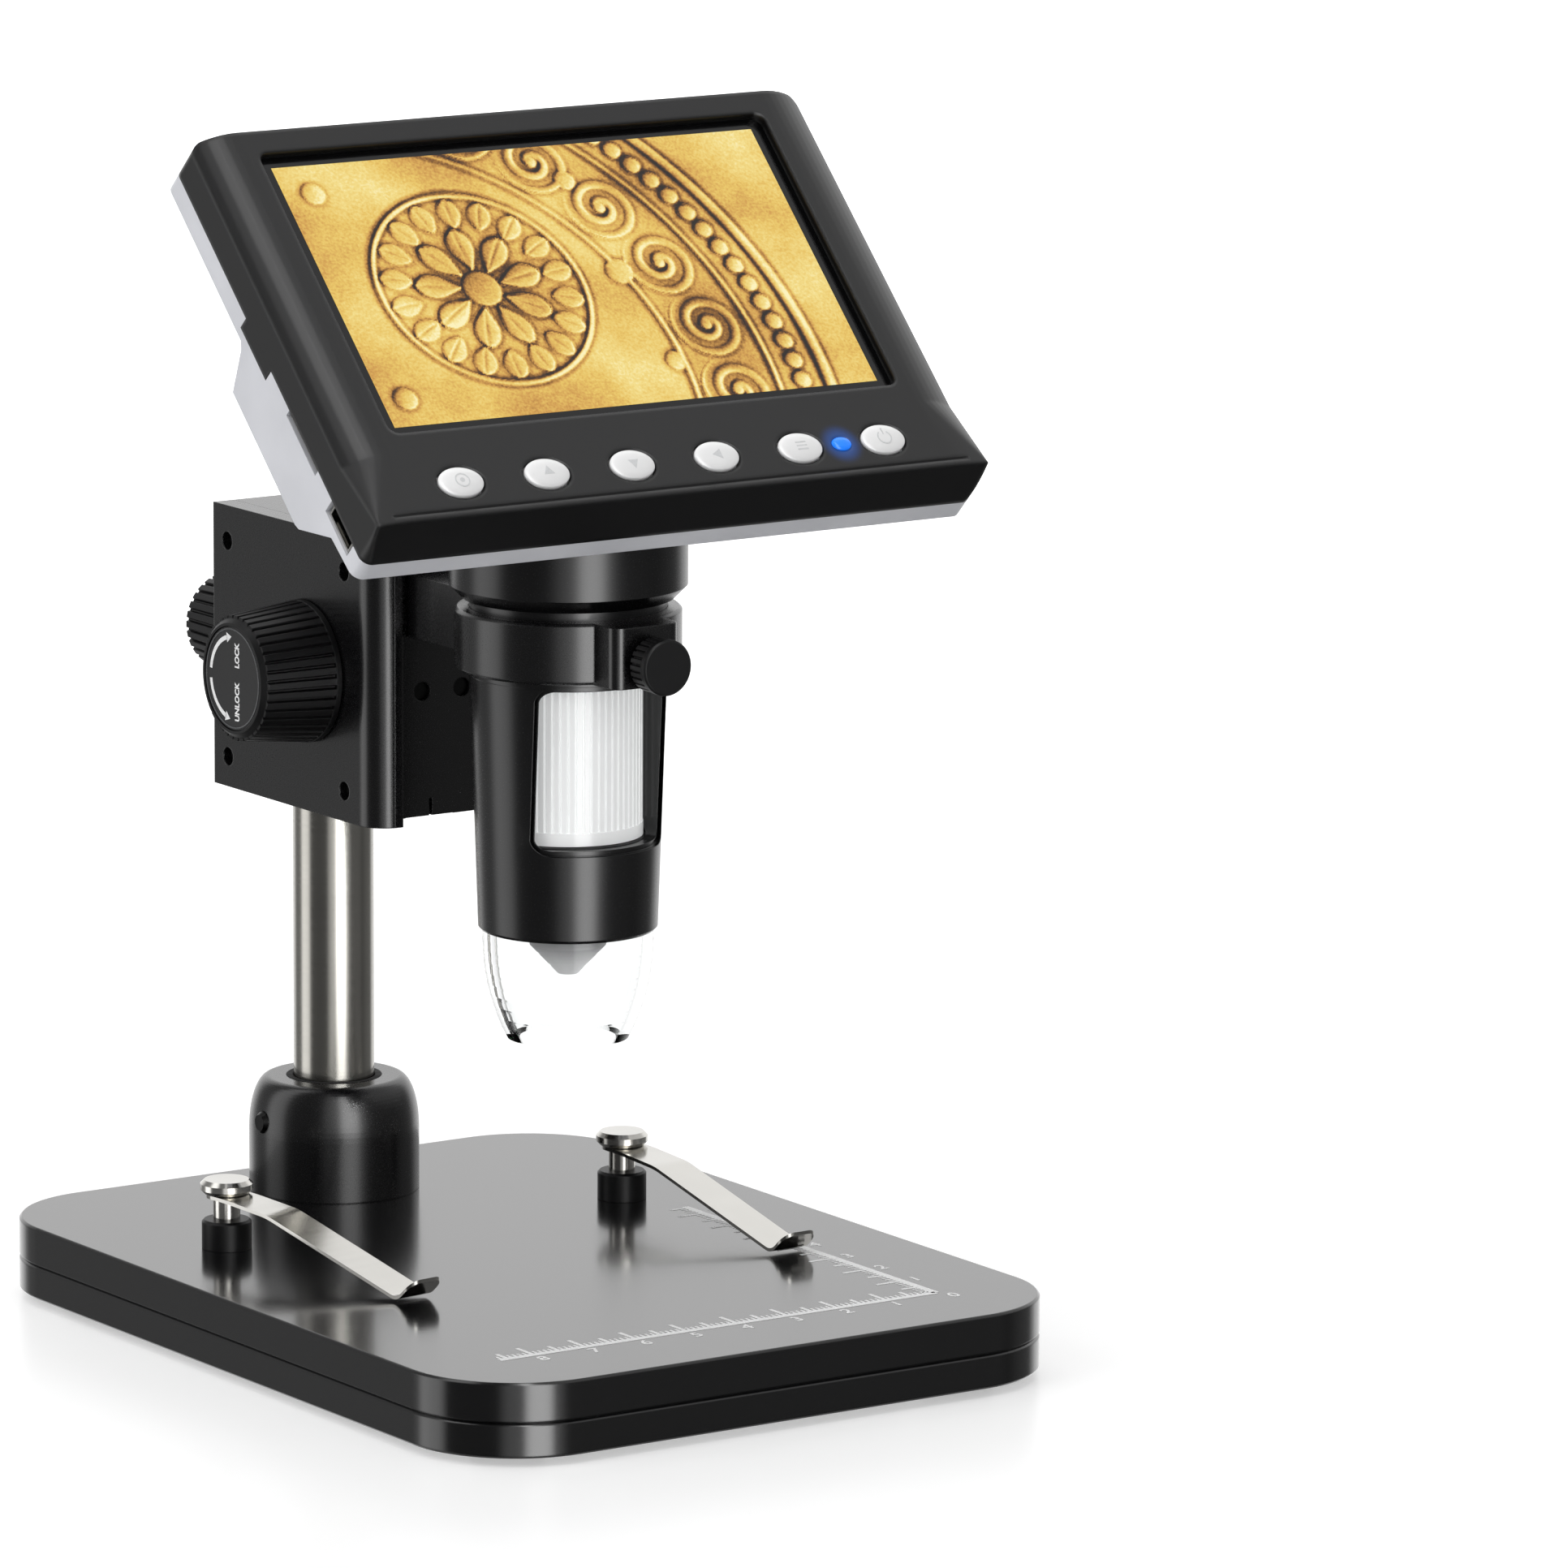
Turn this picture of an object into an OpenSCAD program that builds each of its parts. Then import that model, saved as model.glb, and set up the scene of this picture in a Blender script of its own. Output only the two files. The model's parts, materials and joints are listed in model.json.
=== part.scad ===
// Bench microscope: a slanted screen on a camera barrel, carried by a rack slide on a post.
// Millimetres. +Z is up, +Y runs back towards the post, +X is to the right of the person
// at the screen. The origin is on the ground, under the middle of the whole object.
// Heights called "over the stage" are measured from the top of the base.

/* [Base] */
// Width of the base plates
base_w = 120.5; // [110:0.5:150]
// Depth of the base plates, front to back
base_d = 161; // [150:1:200]
// Radius of the base corners, seen from above
base_corner_r = 20; // [10:1:30]
// Thickness of the upper plate, whose top is the stage
top_plate_t = 6.8; // [5:0.1:10]
// Thickness of the lower plate
under_plate_t = 5.8; // [5:0.1:10]
// Rounding round the outer edges of both plates
plate_edge = 0.4; // [0.2:0.1:1]
// Height of the rubber feet under the lower plate
foot_h = 1.4; // [1:0.1:4]
// Radius of a rubber foot
foot_r = 6; // [4:0.5:9]
// Distance from the base's sides to a foot's middle
foot_inset = 15.5; // [12:0.5:25]

/* [Post] */
// Distance from the base's front edge back to the barrel's axis
axis_from_front = 66.4; // [55:0.1:80]
// Distance from the barrel's axis back to the post's axis
post_reach = 74.6; // [70:0.1:85]
// Radius of the steel post
post_r = 7; // [6:0.1:8]
// Height of the post's upper end over the stage
post_top = 116; // [105:1:130]
// Radius of the collar that holds the post
collar_r = 14.8; // [13:0.1:18]
// Height of the collar
collar_h = 19.9; // [15:0.1:28]
// Height at which the collar starts to round over
collar_straight = 10.6; // [6:0.1:13]
// Radius of the flat ring on the collar's top
collar_top_r = 11.4; // [10:0.1:12.5]
// Height of the grub screw in the collar's side
grub_z = 13; // [8:0.5:13]

/* [Stage clips] */
// Left clip screw: sideways and back from the point under the lens
clip_left = [-40.1, 44.6]; // [-50:0.1:60]
// Right clip screw: sideways and back from the point under the lens
clip_right = [36.9, 39.5]; // [-50:0.1:60]
// Turn of the left leaf towards the middle, in degrees
clip_left_turn = 7; // [0:0.5:20]
// Turn of the right leaf towards the middle, in degrees
clip_right_turn = -1; // [-5:0.5:20]
// Distance from a clip's screw to the line where its leaf presses
leaf_reach = 50; // [40:0.5:55]
// Width of a leaf
leaf_w = 7; // [5:0.1:9]
// Thickness of the spring steel
leaf_t = 0.6; // [0.4:0.05:1]
// Height of the underside of a leaf at its screw, over the stage
leaf_z = 8.8; // [7:0.1:12]
// Length and rise of the turned-up tip
leaf_tip = [4, 3.6]; // [2:0.1:6]
// Radius and height of the round boss under a clip
boss_r = 4.25; // [3.5:0.05:6]
boss_h = 5; // [3:0.1:6]
// Radius of the clip screw's shank
clip_pin_r = 2.3; // [1.5:0.05:2.8]
// Radius and thickness of the clip screw's head
clip_head_r = 4.5; // [3.8:0.1:6]
clip_head_t = 2.4; // [1.5:0.1:4]

/* [Bracket] */
// Width of the bracket housing
bracket_w = 30; // [28:0.5:40]
// Height of the bracket housing
bracket_h = 49.3; // [44:0.1:60]
// Height of the housing's underside over the stage, at rest
bracket_low = 70.7; // [60:0.1:75]
// Distance from the post's axis forward to the housing's front
bracket_front = 37.6; // [37:0.1:42]
// Distance from the post's axis back to the housing's rear
bracket_back = 14.8; // [13:0.1:20]
// Radius of the housing's front corners
bracket_corner_r = 5; // [2:0.5:5.5]
// Thickness of the cover on the housing's left side
cover_t = 4; // [3.5:0.1:5]
// Wall of the split bush between the post and the housing
bush_wall = 1.5; // [1:0.1:2]
// Thickness of the lips that keep the bush in the housing
bush_lip = 1.8; // [1:0.1:3]
// Radius of the housing's screw recesses
recess_r = 1.6; // [1.4:0.1:2]

/* [Knobs] */
// Distance from the post's axis forward to the knobs' cross shaft
cross_fwd = 15.5; // [15:0.1:17]
// Height of the cross shaft over the housing's underside
cross_up = 24.3; // [20:0.1:28]
// Radius of a side knob at the housing
knob_r = 12.3; // [9:0.1:14]
// Radius of a side knob at its outer face
knob_tip_r = 10.9; // [8:0.1:13]
// Length of a side knob
knob_l = 14.5; // [10:0.5:20]
// Number of ribs round a side knob
knob_ribs = 40; // [24:1:48]
// Depth of the grooves between the ribs
rib_depth = 0.6; // [0.3:0.05:0.9]
// Radius of the rear clamp knob
clamp_r = 9.3; // [7:0.1:12]
// Length of the rear clamp knob
clamp_l = 15; // [10:0.5:18]
// Distance from the post's axis back to the clamp knob's outer face
clamp_reach = 35.6; // [34:0.1:45]
// Number of ribs round the clamp knob
clamp_ribs = 30; // [20:1:40]
// Radius of the clamp screw and of the cross shaft
stud_r = 2.5; // [2:0.1:3]

/* [Rack slide] */
// Tooth size, as the gear's module
tooth_module = 0.8; // [0.6:0.05:0.9]
// Number of teeth on the pinion
pinion_teeth = 12; // [10:1:13]
// Width of the pinion and of the rack
rack_w = 7.2; // [5:0.1:8]
// Play between rack and pinion teeth, along the rack
tooth_play = 0.24; // [0.1:0.02:0.4]
// Width of the slide's front plate
slide_w = 18.4; // [17:0.1:20]
// Thickness of the slide's front plate
slide_plate_t = 4; // [3:0.1:5]
// How far the slide's front lies behind the housing's front
slide_sunk = 2.4; // [0.5:0.1:3]
// Distance of the slide's two screws from its middle line
slide_screw_x = 4; // [3:0.1:6]
// How far the slide's ends stand inside the housing's ends
slide_inset = 1; // [0:0.1:3]
// Half widths of the dovetail, at the plate and at its back
dovetail = [4.6, 7.2]; // [4:0.1:8]
// Depth of the dovetail
dovetail_t = 6.5; // [5:0.1:8]

/* [Holder ring] */
// Height of the ring's underside over the stage
ring_low = 103.3; // [100:0.1:104]
// Height of the ring
ring_h = 10.3; // [8:0.1:11]
// Radial thickness of the ring
ring_wall = 2.4; // [2:0.1:5]
// Width of the arm that carries the ring
arm_w = 16; // [12:0.5:18]
// Width of the front boss that takes the thumbscrew
lug_w = 13; // [10:0.5:16]
// How far the front boss stands out from the ring
lug_out = 5.2; // [3:0.1:8]
// Radius of the front boss's corners
lug_corner_r = 2; // [0.5:0.1:2.5]
// Radius and thickness of the thumbscrew's head
thumb_r = 4.7; // [3.5:0.1:5]
thumb_t = 4.5; // [3:0.1:7]
// Radius of the thumbscrew's thread
thumb_stud_r = 1.6; // [1:0.1:2.5]

/* [Barrel] */
// Radius of the barrel where the ring holds it
barrel_r = 16.6; // [15:0.05:17]
// Radius of the barrel at its lower end
barrel_low_r = 15.1; // [14:0.05:15.5]
// Height of the barrel's lower end over the stage
barrel_low = 58.8; // [54:0.1:64]
// Radius of the barrel's bore
bore_r = 13; // [12.8:0.05:13.4]
// Width of the focus window
window_w = 24.4; // [20:0.1:26]
// Height of the window's lower edge over the stage
window_low = 74.5; // [72:0.1:80]
// Distance from the window's upper edge up to the ring
window_under = 1.7; // [1.5:0.1:4]
// Width of the step round the window
window_step = 0.9; // [0.5:0.1:1.4]
// Radius of the focus wheel
wheel_r = 12.6; // [12:0.05:12.7]
// Number of ribs round the focus wheel
wheel_ribs = 60; // [36:1:72]
// Height of the plain band under the wheel's ribs
wheel_band = 2.2; // [1.5:0.1:4]
// Radius of the sliding lens tube
lens_tube_r = 7.9; // [6:0.1:8.5]
// Radius of the grey cone round the lens
cone_r = 6.45; // [5:0.05:7]
// Height of the cone's tip over the stage
cone_tip = 51.1; // [49:0.1:53]
// Radius of the clear hood where it meets the barrel
hood_r = 14.45; // [13.6:0.05:14.9]
// Radius of the hood's open mouth
hood_mouth_r = 10.3; // [9:0.1:12]
// Height of the hood's mouth over the stage
hood_low = 40.2; // [38:0.1:46]
// Wall of the clear hood
hood_wall = 2; // [1.2:0.1:2.5]

/* [Neck] */
// Height of the neck's lower end over the stage
neck_low = 115.2; // [114.5:0.1:118]
// Radius of the neck
neck_r = 20; // [18:0.1:22]
// Bevel round the neck's upper end
neck_bevel = 2.8; // [1:0.1:3.4]
// Bevel round the neck's lower end
neck_foot_bevel = 2.2; // [1:0.1:3]
// Height of the neck, up to its cap behind the screen case
neck_h = 42.8; // [38:0.1:46]

/* [Screen case] */
// Width of the screen's lit area
lcd_w = 95.04; // [80:0.02:96]
// Height of the screen's lit area
lcd_h = 53.86; // [45:0.02:54]
// Tilt of the screen back from level, in degrees
screen_tilt = 45; // [40:0.5:50]
// Distance from the barrel's axis forward to the lit area's lower edge
screen_fwd = 21.4; // [18:0.1:24]
// Height of the lit area's lower edge over the stage
screen_up = 150.3; // [146:0.1:156]
// Width of the case beside the lit area
case_border = 12.48; // [11.5:0.02:16]
// Case below the lit area's lower edge
chin = 21.4; // [19:0.1:24]
// Case above the lit area's upper edge
brow = 6.6; // [6:0.1:9]
// How far the case's face stands in front of the screen
face_t = 1.7; // [1.2:0.1:2.2]
// Depth from the screen back to the seam between bezel and rear shell
seam_d = 7.1; // [6.8:0.1:8]
// Depth from the screen back to the rear shell's back
shell_d = 11; // [10.5:0.1:13]
// Depth from the screen back to the hump's back
hump_d = 19.1; // [17:0.1:24]
// Height of the hump's upper end above the lit area's lower edge
hump_up = 27.8; // [20:0.1:32]
// Wall of the rear shell
shell_wall = 1.9; // [1.5:0.1:2.5]
// Width over which the face rolls off towards the sides
roll_w = 8; // [4:0.5:9]
// Drop of the face at the sides
roll_drop = 2.8; // [1:0.1:3]
// Margin between the lit area and the edge of the opening
window_margin = 2.5; // [2:0.1:3]

/* [Buttons] */
// Number of buttons in the row
button_count = 6; // [6:1:6]
// Distance from the case's sides to the middles of the outer buttons
button_inset = 18.5; // [16:0.1:24]
// Radius of a button
button_r = 3.85; // [3:0.05:5]
// Height of a button's crown over the face
button_rise = 1.1; // [0.8:0.1:2]
// Distance of the row below the lit area
button_down = 13.1; // [11:0.1:14]
// Radius of the blue lamp between the last two buttons
lamp_r = 1.5; // [1:0.1:2.5]

/* [Hidden] */
$fn = 64;

// Clearances
run_gap = 0.05;
slide_gap = 0.1;
free_gap = 0.3;
sliver = 0.01;

// The whole object's depth puts the origin under its middle
total_d = max(base_d, axis_from_front + post_reach + clamp_reach);
front_y = -total_d / 2;
axis_y = front_y + axis_from_front;
post_y = axis_y + post_reach;
base_cy = front_y + base_d / 2;

// Levels of the base
plate_z = foot_h;
seam_z = plate_z + under_plate_t;
stage_z = seam_z + top_plate_t;
base_screw_inset = foot_inset + foot_r + 3.5;
base_screw_r = 1.5;
bolt_r = 3;
bolt_head_r = 5;
bolt_head_t = 3.5;
bolt_in_post = 11;

// The bracket and its shafts
bracket_z = stage_z + bracket_low;
bracket_y0 = post_y - bracket_front;
bracket_y1 = post_y + bracket_back;
bush_r = post_r + run_gap + bush_wall;
cross_y = post_y - cross_fwd;
cross_z = bracket_z + cross_up;
housing_screw_y = [post_y + 10.2, post_y - 27.8];
housing_screw_z = [bracket_z + 5.3, bracket_z + bracket_h - 6.2];
screw_head_t = 2;
cover_seat = 2.6;
cover_head_t = 1.3;
cover_screw_l = 4.8;

// The gear pair: the rack's crests stay under the limit at which a small pinion would foul
pitch_r = tooth_module * pinion_teeth / 2;
tooth_pitch = PI * tooth_module;
pressure = 20;
pinion_base_r = pitch_r * cos(pressure);
pinion_tip_r = pitch_r + tooth_module;
pinion_root_r = pitch_r - 1.1 * tooth_module;
rack_crest = min(0.9 * pitch_r * pow(sin(pressure), 2), 0.75 * tooth_module);
rack_root = tooth_module + 0.2;
rack_line_y = cross_y - pitch_r;
slide_y0 = bracket_y0 + slide_sunk;
slide_y1 = slide_y0 + slide_plate_t;
dovetail_y1 = slide_y1 + dovetail_t;
slide_z0 = bracket_z + slide_inset;
slide_screw_z = cross_z - 1.7;
slide_l = bracket_h - 2 * slide_inset;

// The barrel's levels
ring_z = stage_z + ring_low;
ring_r = barrel_r + run_gap + ring_wall;
lug_y = axis_y - ring_r - lug_out;
thumb_z = ring_z + 0.4 * ring_h;
barrel_z = stage_z + barrel_low;
barrel_step_z = ring_z - 1.2;
neck_z = stage_z + neck_low;
neck_top_z = neck_z + neck_h;
barrel_top_z = neck_z + 3;
window_z = stage_z + window_low;
window_top_z = ring_z - window_under;
wheel_z = window_z + 0.4;
wheel_top_z = window_top_z + 2.1;
wheel_seat_t = 2.2;
board_t = 1.6;
lamp_board_z = barrel_z + 2.2;
hood_plug_t = 1.6;
lens_tube_z = lamp_board_z + board_t + 3.2;
lens_tube_l = 34;
lens_r = lens_tube_r - 2;

// The screen case, in its own frame: x across, y up the screen, z out of the screen
screen_y = axis_y - screen_fwd;
screen_z = stage_z + screen_up;
case_w = lcd_w + 2 * case_border;
case_top = lcd_h + brow;
hump_rise_h = 4.5;
hump_over_neck = 18.2;
neck_top_s = hump_up - hump_rise_h;
face_wall = 4;
face_low = chin - 1.8;
opening_low = window_margin - 0.2;
opening_top = lcd_h + window_margin - 0.4;
cavity_low = chin - 3.2;
cavity_top = case_top - 2;
glass_t = 1.1;
panel_t = 3;
glass_w = lcd_w + 2 * window_margin + 3;
glass_low = opening_low + 2.3;
glass_top = min(opening_top + 2.2, cavity_top - 0.1);
jack_s = -12.7;
jack_w = 9.2;
jack_t = 2.9;
jack_l = 10;
slot_s = 4.1;
slot_w = 12.4;
slot_t = 1.3;
case_screw_r = 1;
case_pillar_r = 2.8;
case_boss_r = 1.9;
case_screw_x = glass_w / 2 + case_boss_r + 0.78;
case_screw_s = [(jack_s + jack_w / 2 + slot_s - slot_w / 2) / 2, case_top - 8];
board_half = case_screw_x - case_pillar_r - 1.4;
post_xs = [-board_half + 6, board_half - 6];
post_ss = [-10, lcd_h - 6];
battery_w = 54;
button_pitch = (case_w - 2 * button_inset) / (button_count - 1);
tab_s = [18.3, 29.3];
tab_t = 2.4;
tab_in = 1.2;
lamp_x = button_x(button_count - 1) + button_pitch / 2;

// ---------------------------------------------------------------- shared shapes

// A point on the screen case's own frame, so that its pieces are drawn flat
module on_case() {
    translate([0, screen_y, screen_z]) rotate([screen_tilt, 0, 0]) children();
}

// Across position of a button, counted from 1 at the left
function button_x(i) = (i - (button_count + 1) / 2) * button_pitch;

// A rectangle with round corners
module rounded_rect(w, d, r) {
    square([w - 2 * r, d], center = true);
    square([w, d - 2 * r], center = true);
    for (x = [-1, 1], y = [-1, 1]) translate([x * (w / 2 - r), y * (d / 2 - r)]) circle(r);
}

// A plate whose outer edges are bevelled top and bottom, with true round corners
module edged_plate(w, d, r, t, e) {
    module edge_profile(half) {
        polygon([[0, 0], [half - e, 0], [half, e], [half, t - e], [half - e, t], [0, t]]);
    }
    module bar(len, half) {
        translate([len / 2, 0, 0]) rotate([90, 0, -90]) linear_extrude(len) {
            edge_profile(half);
            mirror([1, 0]) edge_profile(half);
        }
    }
    bar(w - 2 * r, d / 2);
    rotate(90) bar(d - 2 * r, w / 2);
    for (x = [-1, 1], y = [-1, 1])
        translate([x * (w / 2 - r), y * (d / 2 - r), 0]) rotate_extrude() edge_profile(r);
}

// A cylinder along +X or +Y from a point
module bar_x(p, r, len) { translate(p) rotate([0, 90, 0]) cylinder(r = r, h = len); }
module bar_y(p, r, len) { translate(p) rotate([-90, 0, 0]) cylinder(r = r, h = len); }

// Outline of a ribbed round: flat-topped ribs with narrow grooves between them
function ribbed(r, n, depth) = [for (i = [0:n - 1]) each [
    let (a = 360 / n) each [
        [r * cos(a * i - 0.30 * a), r * sin(a * i - 0.30 * a)],
        [r * cos(a * i + 0.30 * a), r * sin(a * i + 0.30 * a)],
        [(r - depth) * cos(a * i + 0.42 * a), (r - depth) * sin(a * i + 0.42 * a)],
        [(r - depth) * cos(a * i + 0.58 * a), (r - depth) * sin(a * i + 0.58 * a)]]]];

// A ribbed knob standing on z = 0: plain rim, tapering ribs, bevelled lip and a dished face
module ribbed_knob(r1, r2, len, n, dish_r, hole_r, hole_l) {
    rim_t = 1;
    lip_t = 0.8;
    rim_out = 0.15;
    difference() {
        union() {
            cylinder(r = r1, h = rim_t);
            translate([0, 0, rim_t]) linear_extrude(len - rim_t - lip_t, scale = r2 / r1)
                polygon(ribbed(r1 - rim_out, n, rib_depth));
            translate([0, 0, len - lip_t])
                cylinder(r1 = r2 - rib_depth, r2 = r2 - rib_depth - lip_t, h = lip_t);
        }
        translate([0, 0, len - lip_t]) cylinder(r = dish_r, h = lip_t + 1);
        translate([0, 0, -1]) cylinder(r = hole_r, h = hole_l + 1);
    }
}

// Rounds the bends of an open line of points: each inner corner becomes a short curve
function bent(p, r, n) = [p[0], for (i = [1:len(p) - 2])
    let (a = p[i] + r * unit(p[i - 1] - p[i]), b = p[i] + r * unit(p[i + 1] - p[i]))
    for (k = [0:n]) let (t = k / n) (1 - t) * (1 - t) * a + 2 * t * (1 - t) * p[i] + t * t * b,
    p[len(p) - 1]];
function unit(v) = v / norm(v);
function reversed(v) = [for (i = [len(v) - 1:-1:0]) v[i]];

// ---------------------------------------------------------------- base and post

// Places children at the four corners of the base
module at_corners(inset) {
    for (x = [-1, 1], y = [-1, 1])
        translate([x * (base_w / 2 - inset), base_cy + y * (base_d / 2 - inset), 0]) children();
}

module base_top_plate() {
    color("#2a2b2c") difference() {
        translate([0, base_cy, seam_z])
            edged_plate(base_w, base_d, base_corner_r, top_plate_t, plate_edge);
        at_corners(base_screw_inset) translate([0, 0, seam_z - 1]) cylinder(r = base_screw_r, h = 5);
        translate([0, post_y, seam_z - 1]) cylinder(r = bolt_r, h = top_plate_t + 2);
        for (c = [clip_left, clip_right])
            translate([c[0], axis_y + c[1], stage_z - 4]) cylinder(r = clip_pin_r - 0.3, h = 5);
    }
}

module base_under_plate() {
    color("#1d1e1f") difference() {
        translate([0, base_cy, plate_z])
            edged_plate(base_w, base_d, base_corner_r, under_plate_t, plate_edge);
        at_corners(base_screw_inset) translate([0, 0, plate_z - 1]) {
            cylinder(r = base_screw_r, h = under_plate_t + 2);
            cylinder(r = 2 * base_screw_r, h = screw_head_t + 1);
        }
        translate([0, post_y, plate_z - 1]) {
            cylinder(r = bolt_r, h = under_plate_t + 2);
            cylinder(r = bolt_head_r + 0.2, h = bolt_head_t + 1);
        }
    }
}

module feet() {
    color("#101010") at_corners(foot_inset) {
        cylinder(r1 = foot_r - 0.4, r2 = foot_r, h = 0.4);
        translate([0, 0, 0.4]) cylinder(r = foot_r, h = foot_h - 0.4);
    }
}

module base_screws() {
    color("silver") at_corners(base_screw_inset) translate([0, 0, plate_z]) {
        cylinder(r = 2 * base_screw_r - 0.1, h = screw_head_t);
        cylinder(r = base_screw_r, h = under_plate_t + 3.6);
    }
}

module post_collar() {
    dome = [for (a = [0:6:90]) [collar_top_r + (collar_r - collar_top_r) * cos(a),
        collar_straight + (collar_h - collar_straight) * sin(a)]];
    color("#141414") difference() {
        translate([0, post_y, stage_z]) rotate_extrude() polygon(concat(
            [[post_r, 0], [collar_r, 0]], dome,
            [[post_r + 1.3, collar_h], [post_r + 1.3, collar_h - 1.2], [post_r, collar_h - 1.2]]));
        bar_x([-collar_r - 1, post_y, stage_z + grub_z], 1.9, collar_r - post_r + 2);
    }
}

module collar_screw() {
    color("#202020") {
        bar_x([-collar_r + 0.2, post_y, stage_z + grub_z], 1.9, collar_r - post_r - 0.5);
        translate([-collar_r + 0.2, post_y, stage_z + grub_z]) rotate([0, -90, 0])
            cylinder(r1 = 1.9, r2 = 1.4, h = 0.7);
    }
}

module post() {
    edge = 0.6;
    color("#c9c7c2") difference() {
        translate([0, post_y, stage_z]) {
            cylinder(r = post_r, h = post_top - edge);
            translate([0, 0, post_top - edge]) cylinder(r1 = post_r, r2 = post_r - edge, h = edge);
        }
        translate([0, post_y, stage_z - 1]) cylinder(r = bolt_r, h = bolt_in_post + 2);
    }
}

module post_bolt() {
    color("silver") translate([0, post_y, plate_z]) {
        cylinder(r = bolt_head_r, h = bolt_head_t);
        cylinder(r = bolt_r, h = stage_z - plate_z + bolt_in_post);
    }
}

// ---------------------------------------------------------------- stage clips

module clip_boss(c) {
    color("#161616") translate([c[0], axis_y + c[1], stage_z]) difference() {
        union() {
            cylinder(r = boss_r, h = boss_h - 0.4);
            translate([0, 0, boss_h - 0.4]) cylinder(r1 = boss_r, r2 = boss_r - 0.4, h = 0.4);
        }
        translate([0, 0, -1]) cylinder(r = clip_pin_r - 0.3, h = boss_h + 2);
    }
}
module clip_boss_left() { clip_boss(clip_left); }
module clip_boss_right() { clip_boss(clip_right); }

// Shouldered screw: its thread goes through the boss into the stage
module clip_screw(c) {
    head_z = leaf_z + leaf_t + slide_gap;
    edge = 0.7;
    color("#d8d8d8") translate([c[0], axis_y + c[1], stage_z]) {
        translate([0, 0, -3.5]) cylinder(r = clip_pin_r - 0.3, h = boss_h + 3.6);
        translate([0, 0, boss_h]) cylinder(r = clip_pin_r, h = head_z - boss_h);
        translate([0, 0, head_z]) rotate_extrude() polygon([[0, 0], [clip_head_r - edge, 0],
            [clip_head_r, edge], [clip_head_r, clip_head_t - edge],
            [clip_head_r - edge, clip_head_t], [0, clip_head_t]]);
    }
}
module clip_screw_left() { clip_screw(clip_left); }
module clip_screw_right() { clip_screw(clip_right); }

// The leaf runs level past its screw, bends down to the stage and turns up at its tip
module clip_leaf(c, turn) {
    bend_l = 0.3 * leaf_reach;
    tip_l = leaf_reach + leaf_tip[0];
    low = 0.2;
    under = bent([[-boss_r - 1, leaf_z], [4, leaf_z], [bend_l, leaf_z - 0.6], [leaf_reach, low],
        [tip_l, low + leaf_tip[1]]], 1.6, 5);
    over = [for (p = under) p + [0, leaf_t]];
    color("#dcdcda") translate([c[0], axis_y + c[1], stage_z]) rotate(turn) difference() {
        intersection() {
            rotate([90, 0, 0]) rotate([0, -90, 0]) translate([0, 0, -leaf_w])
                linear_extrude(2 * leaf_w) polygon(concat(under, reversed(over)));
            translate([0, 0, -1]) linear_extrude(leaf_z + leaf_t + 3) union() {
                circle(leaf_w / 2);
                translate([-leaf_w / 2, -tip_l + 2]) square([leaf_w, tip_l - 2]);
                for (x = [-1, 1]) translate([x * (leaf_w / 2 - 2), -tip_l + 2]) circle(2);
                translate([-leaf_w / 2 + 2, -tip_l]) square([leaf_w - 4, 4]);
            }
        }
        translate([0, 0, leaf_z - 1]) cylinder(r = clip_pin_r + run_gap, h = leaf_t + 2);
    }
}
module clip_leaf_left() { clip_leaf(clip_left, clip_left_turn); }
module clip_leaf_right() { clip_leaf(clip_right, -clip_right_turn); }

// ---------------------------------------------------------------- bracket

// Split bush that grips the post when the clamp screw presses on it
module post_bush() {
    color("#e9e6da") translate([0, post_y, bracket_z + bush_lip + slide_gap]) difference() {
        cylinder(r = bush_r, h = bracket_h - 2 * (bush_lip + slide_gap));
        translate([0, 0, -1]) cylinder(r = post_r + run_gap, h = bracket_h);
        translate([0, -0.5, -1]) cube([bush_r + 1, 1, bracket_h]);
    }
}

// Outline of the slide, seen from above; the channel it runs in is wider by a gap and open in front
module slide_outline(gap, front) {
    translate([-slide_w / 2 - gap, slide_y0 - front])
        square([slide_w + 2 * gap, slide_plate_t + front + gap]);
    polygon([[-dovetail[0] - gap, slide_y1 - sliver], [dovetail[0] + gap, slide_y1 - sliver],
        [dovetail[1] + gap, dovetail_y1 + gap], [-dovetail[1] - gap, dovetail_y1 + gap]]);
}

module housing_outline() {
    r = bracket_corner_r;
    w = bracket_w / 2;
    translate([-w, bracket_y0 + r]) square([2 * w, bracket_y1 - bracket_y0 - r]);
    translate([-w + r, bracket_y0]) square([2 * (w - r), r + 1]);
    for (x = [-1, 1]) translate([x * (w - r), bracket_y0 + r]) circle(r);
}

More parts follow.
